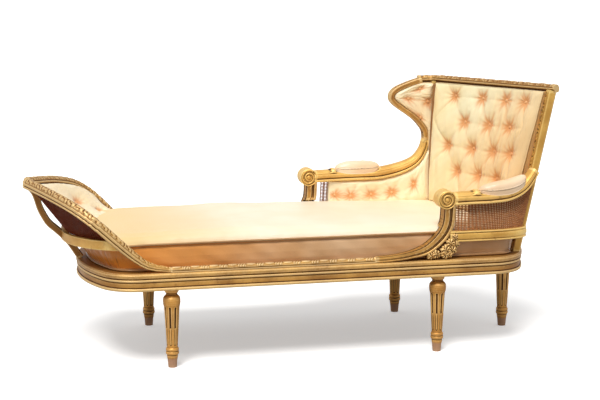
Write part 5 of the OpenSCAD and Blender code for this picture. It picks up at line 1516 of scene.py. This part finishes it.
def wing_height(s, t):
    return buttoned(s * WING_SIZE[0], t * WING_SIZE[1], WING_PLACES * WING_SIZE,
                    WING_ENDS * WING_SIZE, 0.115, 12)


def wing_front(s, t):
    roll = edge_roll(s, t, 0.16)
    return wing_pt(s, t, lerp(0.3, 1, roll) * 0.032 - 0.013 * roll * (1 - wing_height(s, t))
                   + 0.0005 * ripple(s * 0.15, t * 0.26, 0.02, 5))


s, t = grid(90, 150)
wing_rear = wing_pt(s, t, np.full(s.shape, -0.0046))
soft("wing_pad_tufted", pillow(wing_rear, wing_front(s, t), 0.0008), tufted_satin, ("wing_pad",),
     pits=(s.size, wing_height(s, t)))

SIDE_SIZE = np.array([0.425, 0.11])
FAR_PLACES = np.array([[0.045, 0.36], [0.158, 0.3], [0.308, 0.345], [0.458, 0.375],
                       [0.667, 0.517]])
FAR_ENDS = np.array([[0.1, 1.1], [0.23, 1.1], [0.38, 1.1], [0.56, 1.1], [0.85, 0.9],
                     [0.1, -0.1], [0.23, -0.1], [0.38, -0.1], [0.56, -0.1], [0.8, -0.1]])
NEAR_PLACES = np.array([[0.125, 0.5], [0.375, 0.5], [0.625, 0.5], [0.875, 0.5]])
NEAR_ENDS = np.array([[x, y] for x in (0, 0.25, 0.5, 0.75, 1) for y in (-0.05, 1.05)])


def side_height(s, t, places, ends):
    return buttoned(s * SIDE_SIZE[0], t * SIDE_SIZE[1], places * SIDE_SIZE, ends * SIDE_SIZE,
                    0.105, 13)


def side_front(s, t, places, ends):
    roll = edge_roll(s, t, 0.24)
    return lerp(0.35, 1, roll) * 0.03 - 0.016 * roll * (1 - side_height(s, t, places, ends)) \
        + 0.0005 * ripple(s * SIDE_SIZE[0], t * SIDE_SIZE[1], 0.02, 6)


def far_pad_pt(s, t, d):
    """Its last tenth reaches back to the crease beside the back cushion."""
    high = arm_under(far_arm_path, lerp(0.13, 0.94, s), ARM_THIN["far"], CLOTH_GAP)
    z = lerp(pad_foot_z(high[..., 0]) - 0.012, high[..., 2], t)
    v = back_v(z)
    reach = np.minimum(crease_x(v), back_face_x(ARM_CY - d, v)) - CLOTH_GAP
    return np.stack([lerp(high[..., 0], reach, np.clip((s - 0.9) / 0.1, 0, 1)), ARM_CY - d, z], -1)


PANEL_HALF = 0.0019  # from the middle of a cane panel to the pad against it


def far_pad_back(s, t):
    p, high = far_pad_pt(s, t, 0 * s), far_pad_pt(s, 0 * t + 1, 0 * s)[..., 2]
    band_top = BAND_MID_Z + BAND_H / 2
    y = lerp(BAND_Y, ARM_CY, (p[..., 2] - band_top) / (high - band_top)) - PANEL_HALF
    return np.stack([p[..., 0], y, p[..., 2]], -1)


s, t = grid(190, 60)
far_pad = pillow(far_pad_pt(s, t, side_front(s, t, FAR_PLACES, FAR_ENDS)), far_pad_back(s, t), 0.0008)
soft("side_pad_far_tufted", far_pad, tufted_satin, ("side_pad_far",),
     pits=(0, side_height(s, t, FAR_PLACES, FAR_ENDS)))


def near_pad_pt(s, t, d):
    a = lerp(0.12, 0.84, s)
    p, q = near_inner(a, 1, PANEL_HALF), near_inner(a, 0, PANEL_HALF)
    k = (pad_foot_z(p[..., 0]) - q[..., 2]) / (p[..., 2] - q[..., 2])
    left = left_of(near_inner(a - 0.03, 0.5, 0), near_inner(a + 0.03, 0.5, 0))
    return lerp(q, p, lerp(k, 0.99, t)[..., None]) + times(d, left)


s, t = grid(120, 50)
near_front = near_pad_pt(s, t, side_front(s, t, NEAR_PLACES, NEAR_ENDS))
soft("side_pad_near_tufted", pillow(near_pad_pt(s, t, 0 * s), near_front, 0.0008), tufted_satin,
     ("side_pad_near",), pits=(s.size, side_height(s, t, NEAR_PLACES, NEAR_ENDS)))

# %% [markdown]
# The foot pad lies in the scoop of the foot end and stands on the mattress.

# %% Foot pad
PAD_REACH = 0.9
SPINE_FOOT_X = -0.427  # the mattress's middle line ends here, and its outline goes round that end
CORNER_POWER = 3.5
CROWN_RINGS = np.array([[0, 0], [0.035, 0.34], [0.08, 0.64], [0.18, 0.86], [0.45, 0.98], [0.95, 1]])


def crown_share(k):
    """Share of the crown's height at a share of the way from the mattress's edge to its middle."""
    return np.interp(k, CROWN_RINGS[:, 0], CROWN_RINGS[:, 1])


def mattress_over(x, y):
    """Height of the mattress at any place of its foot end."""
    past = np.maximum(SPINE_FOOT_X - x, 0)
    r = (past ** CORNER_POWER + np.abs(y) ** CORNER_POWER) ** (1 / CORNER_POWER)
    return MATTRESS_TOP + crown_at(x) * crown_share(1 - r / MATTRESS_Y)


def foot_base(t):
    x, y = -0.69 + 0.125 * np.maximum(t, 0) ** 2, t * PROW_HALF_W * 0.88
    return np.stack([x, y, mattress_over(x, y)], -1)


def on_rim(t):
    share = lerp(RIM_FROM, RIM_TO, np.abs(t))
    return np.where((t < 0)[..., None], at_share(rim_near_path, share),
                    at_share(rim_far_path, share))


FOOT_SIZE = np.array([0.32, 0.22])
FOOT_COLUMN = 1 / 4.5
foot_shares = np.array([[i * FOOT_COLUMN, (1 if i % 2 == 0 else 0.5) / 1.6]
                        for i in range(-3, 4)])
foot_places = foot_shares * FOOT_SIZE
foot_ends = np.array([[i * FOOT_COLUMN, v] for i in range(-4, 5)
                      for v in ((0, 1.25) if i % 2 == 0 else (1.1, -0.2))]) * FOOT_SIZE


def foot_height(t, v):
    return buttoned(t * FOOT_SIZE[0], v * FOOT_SIZE[1], foot_places, foot_ends, 0.115, 14)


def foot_facing(t):
    return unit(np.stack([np.full(t.shape, 0.5), -0.5 * t, np.full(t.shape, 0.75)], -1))


def stand_on_mattress(p, sink):
    p[..., 2] = np.maximum(p[..., 2], mattress_over(p[..., 0], p[..., 1]) - sink)
    return p


def foot_front(t, v):
    roll = edge_roll((t / PAD_REACH + 1) / 2, v, 0.12)
    top = inward(on_rim(t), 0.0357) - [0, 0, 0.0037]
    depth = 0.02 * roll * (1 - foot_height(t, v)) + (1 - roll) * 0.008
    depth = depth - 0.0005 * ripple(t * 0.3, v * 0.2, 0.02, 8)
    scoop = times(0.064 * v * (1 - v), np.array([0, 0, 1]))
    p = lerp(foot_base(t), top, v[..., None]) - scoop - times(depth, foot_facing(t))
    return stand_on_mattress(p, 0.005)


def foot_back(t, v):
    return stand_on_mattress(shell(t, v * 0.96, 0.0098 + 0 * v), 0.008)


t, v = grid(220, 90)
t = lerp(-PAD_REACH, PAD_REACH, t)
soft("foot_pad_tufted", pillow(foot_front(t, v), foot_back(t, v), 0.0006), tufted_satin,
     ("foot_pad",), pits=(0, foot_height(t, v)))

# %% [markdown]
# The mattress is a loose box cushion with a crowned top. Its two welts are swept cords, and the cloth
# on its side is gathered where it goes round the foot end.

# %% Mattress
def foot_plan(inset, n):
    r, big = CORNER_R - inset, END_R - inset
    return np.concatenate([arc(foot_cx, corner_cy, r, 90, 180 - bow_deg, n),
                           arc(foot_cx + bow_reach, 0, big, 180 - bow_deg, 180 + bow_deg, 2 * n),
                           arc(foot_cx, -corner_cy, r, 180 + bow_deg, 270, n)])


def head_x(y):
    """The mattress is cut back along the foot of the turned back."""
    return lerp(NEAR_FOOT[0], FAR_FOOT[0], (y - NEAR_FOOT[1]) / (FAR_FOOT[1] - NEAR_FOOT[1])) - 0.012


def rounded(p, q, s, r, n=10):
    """The corner at q between p and s, rounded off."""
    a, b = unit(p - q), unit(s - q)
    half = math.acos(float(a @ b)) / 2
    c = q + unit(a + b) * r / math.sin(half)
    t0 = q + a * r / math.tan(half) - c
    angle = math.atan2(t0[1], t0[0]) + (math.pi - 2 * half) * np.arange(n + 1) / n
    return c + r * np.stack([np.cos(angle), np.sin(angle)], -1)


MATTRESS_INSET, MATTRESS_CORNER_R = 0.04, 0.06
near_start, far_start = np.array([foot_cx, -MATTRESS_Y]), np.array([foot_cx, MATTRESS_Y])
near_corner = np.array([head_x(-MATTRESS_Y), -MATTRESS_Y])
far_corner = np.array([head_x(MATTRESS_Y), MATTRESS_Y])
plan = np.concatenate([foot_plan(MATTRESS_INSET, 16),
                       rounded(near_start, near_corner, far_corner, MATTRESS_CORNER_R),
                       rounded(near_corner, far_corner, far_start, MATTRESS_CORNER_R)])
plan, _ = even(np.concatenate([plan, plan[:1]]), 0.0052)
plan = plan[:-1]
spine = np.stack([np.clip(plan[:, 0], SPINE_FOOT_X, far_corner[0] - MATTRESS_Y),
                  np.zeros(len(plan))], -1)
# Rings up the side: how far each is drawn in towards the spine, and its share of the height
SIDE_RINGS = np.array([[0.05, 0], [0.03, 0.004], [0.012, 0.03], [0, 0.07], [0.001, 0.09],
                       [0.014, 0.12], [0.008, 0.25], [0.004, 0.5], [0.008, 0.75], [0.014, 0.86],
                       [0.002, 0.91], [0, 0.94], [0.004, 0.985], [0.014, 1]])
LEAN, LEAN_FROM_X = 0.16, -0.56


def lean_out(z):
    """Shares by which the cloth leans out at the foot end, at share z of the side's height."""
    return -LEAN * smooth01((LEAN_FROM_X - plan[:, 0]) / 0.14) * smooth01(np.asarray(z, float))


def mattress_rings():
    """Rings up the side, with its gathers at the foot end, then over the top to the middle."""
    rise = np.unique(np.concatenate([np.linspace(0, 1, 30), SIDE_RINGS[:, 1]]))
    run = path_length(np.concatenate([plan, plan[:1]]))[:-1]
    at_foot = smooth01((LEAN_FROM_X - plan[:, 0]) / 0.12)
    rings = []
    for z in rise:
        k = np.interp(z, SIDE_RINGS[:, 1], SIDE_RINGS[:, 0])
        loose = math.sin(math.pi * min(max((z - 0.12) / 0.74, 0), 1)) ** 0.5
        wave = 0.0016 * ripple(run, run * 0 + z * 0.1, 0.09, 21)
        gathers = at_foot * 0.003 * ripple(run + 0.004 * math.sin(5 * z), run * 0, 0.015, 22)
        k = k - loose * (wave + gathers) / MATTRESS_Y + lean_out(z)
        rings.append(level(lerp(plan, spine, k[:, None]), rail_top + CLOTH_GAP + MATTRESS_T * z))
    for k in np.concatenate([np.geomspace(0.02, 0.3, 22), np.linspace(0.34, 0.985, 24)]):
        p = lerp(plan, spine, (k + lean_out(1) * (1 - k) ** 3)[:, None])
        z = MATTRESS_TOP + crown_at(p[:, 0]) * crown_share(k)
        z = z + 0.0011 * ripple(run, run * 0 + k * 0.3, 0.05, 23) * math.exp(-k / 0.15)
        z = z + 0.001 * ripple(p[:, 0], p[:, 1], 0.2, 24)
        rings.append(np.concatenate([p, z[:, None]], 1))
    return np.array(rings)


rings = mattress_rings()
side_rows = int((rings[:, 0, 2] < MATTRESS_TOP - 0.004).sum())
n, m = rings.shape[:2]
points = np.concatenate([rings.reshape(-1, 3), [rings[0].mean(0)]])
faces = grid_faces(n, m, wrap=True).tolist() + [[(j + 1) % m, j, n * m] for j in range(m)]
for corners in tessellate_polygon([rings[-1].tolist()]):
    (x0, y0), (x1, y1), (x2, y2) = rings[-1][list(corners), :2]
    turns_left = (x1 - x0) * (y2 - y0) > (x2 - x0) * (y1 - y0)
    faces.append([(n - 1) * m + j for j in (corners if turns_left else corners[::-1])])
mattress = soft("mattress_stuffed", (points, faces), mattress_satin, ("mattress",), 0.75,
                (20, 0.003))
# The faces of the side take the darker satin, as painted shade.
mattress.data.materials.append(shaded_side_satin)
PLAIN_RINGS = 30  # of the top, inside its edge, which keep one tone
marks = get_hollows(mattress)
marks[(n - PLAIN_RINGS) * m:] = 0
set_hollows(mattress, marks)
on_side = np.zeros(len(faces), int)
on_side[:side_rows * m] = 1
mattress.data.polygons.foreach_set("material_index", on_side)

WELT_R, WELT_COLS = 0.0042, 8
for name, z in (("top", 0.948), ("foot", 0.07)):
    inwards = level(spine - plan, 0)
    way = unit(inwards)
    centre = level(plan, rail_top + MATTRESS_T * z) + way * 0.001 + inwards * lean_out(z)[:, None]
    turn = (np.arange(WELT_COLS) / WELT_COLS * 2 * math.pi)[:, None]
    tube = centre[:, None] + WELT_R * (np.array([0, 0, 1]) * np.sin(turn) - way[:, None] * np.cos(turn))
    i, j = np.meshgrid(np.arange(m), np.arange(WELT_COLS), indexing="ij")
    next_i, next_j = (i + 1) % m, (j + 1) % WELT_COLS
    welt_faces = np.stack([i * WELT_COLS + j, next_i * WELT_COLS + j, next_i * WELT_COLS + next_j,
                           i * WELT_COLS + next_j], -1).reshape(-1, 4)
    welt = dress("mattress_welt_" + name, tube.reshape(-1, 3), welt_faces.tolist(), welt_satin,
                 "satin", (), (4, 0.001))

# %% [markdown]
# The arm pads are small domes that fill the scooped seats of the arms.

# %% Arm pads
def pad_at(side, s, across, up):
    path, span = near_arm_path if side == "near" else far_arm_path, pad_spans[side]
    k = lerp(span[0], span[1], s)
    p, q = at_share(path, k), at_share(path, k + 1 / len(path))
    return p + times(across, left_of(p, q)) + times(ARM_T / 2 + up, np.array([0, 0, 1]))


for side in ("near", "far"):
    s, c = grid(90, 44)
    c = 2 * c - 1
    half = ARM_W * 0.46 * bow01(s, 3) + 0.0004
    rise = 0.029 * bow01(s, 3) * np.maximum(1 - np.abs(c) ** 2.4, 0) ** 0.5
    rise = rise + 0.0004 * ripple(s * 0.18, c * 0.03, 0.02, 31)
    top = pad_at(side, s, c * half, 2 * CLOTH_GAP + rise)
    under = pad_at(side, s, c * half, CLOTH_GAP - PAD_RECESS * bow01(s, 2))
    soft("arm_pad_" + side + "_stuffed", pillow(under, top, 0.0004), pad_satin, ("arm_pad_" + side,), 0.9)

# %% [markdown]
# Covered buttons sit in the pits. Their places and facings are points with an attribute, and a
# Geometry Nodes tree sets a flattened ball on each.

# %% Buttons
def button_tree():
    tree, start, end = new_tree("covered_buttons", [("Width", "NodeSocketFloat"),
                                                    ("Finish", "NodeSocketMaterial")])
    link = tree.links.new
    ball = tree.nodes.new("GeometryNodeMeshUVSphere")
    ball.inputs["Segments"].default_value = 28
    ball.inputs["Rings"].default_value = 14
    flat = tree.nodes.new("GeometryNodeTransform")
    flat.inputs["Scale"].default_value = (1, 1, 0.55)
    half = tree.nodes.new("ShaderNodeMath")
    half.operation = "MULTIPLY"
    half.inputs[1].default_value = 0.5
    facing = tree.nodes.new("GeometryNodeInputNamedAttribute")
    facing.data_type = "FLOAT_VECTOR"
    facing.inputs["Name"].default_value = "facing"
    turn = tree.nodes.new("FunctionNodeAlignRotationToVector")
    turn.axis = "Z"
    place = tree.nodes.new("GeometryNodeInstanceOnPoints")
    real = tree.nodes.new("GeometryNodeRealizeInstances")
    finish = tree.nodes.new("GeometryNodeSetMaterial")
    link(start.outputs["Geometry"], place.inputs["Points"])
    link(start.outputs["Width"], half.inputs[0])
    link(half.outputs["Value"], ball.inputs["Radius"])
    link(ball.outputs["Mesh"], flat.inputs["Geometry"])
    link(flat.outputs["Geometry"], place.inputs["Instance"])
    link(facing.outputs["Attribute"], turn.inputs["Vector"])
    link(turn.outputs["Rotation"], place.inputs["Rotation"])
    link(place.outputs["Instances"], real.inputs["Geometry"])
    link(real.outputs["Geometry"], finish.inputs["Geometry"])
    link(start.outputs["Finish"], finish.inputs["Material"])
    link(finish.outputs["Geometry"], end.inputs["Geometry"])
    return tree


buttons_tree = button_tree()
BUTTON_W, BUTTON_PROUD = 0.0125, 0.0012


def buttons(name, places, facings, replaces):
    """Buttons that stand a little proud of the cloth at those places."""
    facings = np.broadcast_to(np.array(facings, np.float32), places.shape)
    mesh = bpy.data.meshes.new(name)
    mesh.from_pydata((places + facings * BUTTON_PROUD).tolist(), [], [])
    mesh.attributes.new("facing", "FLOAT_VECTOR", "POINT").data.foreach_set("vector", facings.ravel())
    obj = add_object(name, mesh)
    run_tree(obj, buttons_tree, {"Width": BUTTON_W, "Finish": button_satin})
    obj.data.polygons.foreach_set("use_smooth", [True] * len(obj.data.polygons))
    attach(obj, "root")
    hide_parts(*replaces)
    print(name, len(places), "buttons")


ACROSS_SEAT = (0, -1, 0)
s, t = back_shares.T
buttons("back_buttons_covered", cushion_front(s, t), -back_rear(s, t), ("back_buttons",))
s, t = FAR_PLACES.T
buttons("side_buttons_covered", far_pad_pt(s, t, side_front(s, t, FAR_PLACES, FAR_ENDS)),
        ACROSS_SEAT, ("side_buttons",))
s, t = WING_PLACES.T
buttons("wing_buttons_covered", wing_front(s, t), ACROSS_SEAT, ("wing_buttons",))
t, v = foot_shares.T
buttons("foot_buttons_covered", foot_front(t, v), foot_facing(t), ("foot_buttons",))

# %% [markdown]
# What is left of the CAD is inside or plain: it keeps its shape and takes a finish of its own.

# %% Inner pieces
rail_u = np.linspace(STILE_U, 1 - STILE_U, 90)
line = back_pt(rail_u, np.full(90, back_v(BAND_MID_Z)), np.full(90, STILE_T / 2))
dress("back_bottom_rail_moulded", *bar(line, outline(BAND, STILE_T, BAND_H, 0.0014)), gilt_plain,
      "gilt_wood", ("back_bottom_rail",), (10, 0.001), 50)
for obj in bpy.data.objects:
    for key, finish in (("rail_dowels", bare_wood), ("leg_dowels", bare_wood), ("deck_slats", bare_wood),
                        ("deck_panel", linen)):
        if obj.type == "MESH" and obj.name.startswith(key):
            obj.data.materials.clear()
            obj.data.materials.append(finish)

# %% [markdown]
# Light comes from a large soft source above and to the left, as in the photograph, over an even
# studio glow. The backdrop is white for the camera and for reflections, and darker for the light
# that bounces off it, so that the sides of the seat keep their shade.

# %% Light and backdrop
scene = bpy.context.scene
scene.view_settings.view_transform = "Standard"
GLOW_LOW, GLOW_HIGH = 0.24, 0.52


world = bpy.data.worlds.new("studio")
world.use_nodes = True
scene.world = world
sky = Graph(world.node_tree)
by_camera, by_gloss, by_glass = sky.light_path("Is Camera Ray", "Is Glossy Ray",
                                               "Is Transmission Ray")
seen = by_camera + by_gloss + by_glass
direction = sky.node("ShaderNodeTexCoord", {}, {}, "Generated")
height = sky.node("ShaderNodeSeparateXYZ", {}, {"Vector": direction}, "Z")
glow = GLOW_LOW + (GLOW_HIGH - GLOW_LOW) * height.above(-0.1, 0.9)
strength = glow + seen * (1 - glow)
background = world.node_tree.nodes["Background"]
background.inputs["Color"].default_value = (1, 1, 1, 1)
world.node_tree.links.new(strength.socket, background.inputs["Strength"])

floor_finish = Finish("white_floor", Roughness=0.9, Specular_IOR_Level=0.0)
bounced, by_camera = floor_finish.light_path("Is Diffuse Ray", "Is Camera Ray")
floor_finish.link(floor_finish.mix(bounced, (0.9, 0.9, 0.9, 1), (0.24, 0.21, 0.17, 1)),
                  "Base Color")
floor_finish.link(floor_finish.mix(by_camera, (0, 0, 0, 1), (0.4, 0.4, 0.4, 1)), "Emission Color")
floor_finish.shader.inputs["Emission Strength"].default_value = 1.0
FLOOR_HALF = 120
floor_corners = [[x * FLOOR_HALF, y * FLOOR_HALF, 0] for x, y in ((-1, -1), (1, -1), (1, 1), (-1, 1))]
floor = make_mesh("floor", floor_corners, [[0, 1, 2, 3]], False)
floor.data.materials.append(floor_finish.material)

sun_data = bpy.data.lights.new("softbox", "SUN")
sun_data.energy = 2.7
sun_data.angle = math.radians(22)
sun_data.color = (1.0, 0.985, 0.96)
sun = add_object("softbox", sun_data)
sun.rotation_euler = (math.radians(28), math.radians(-17), 0)
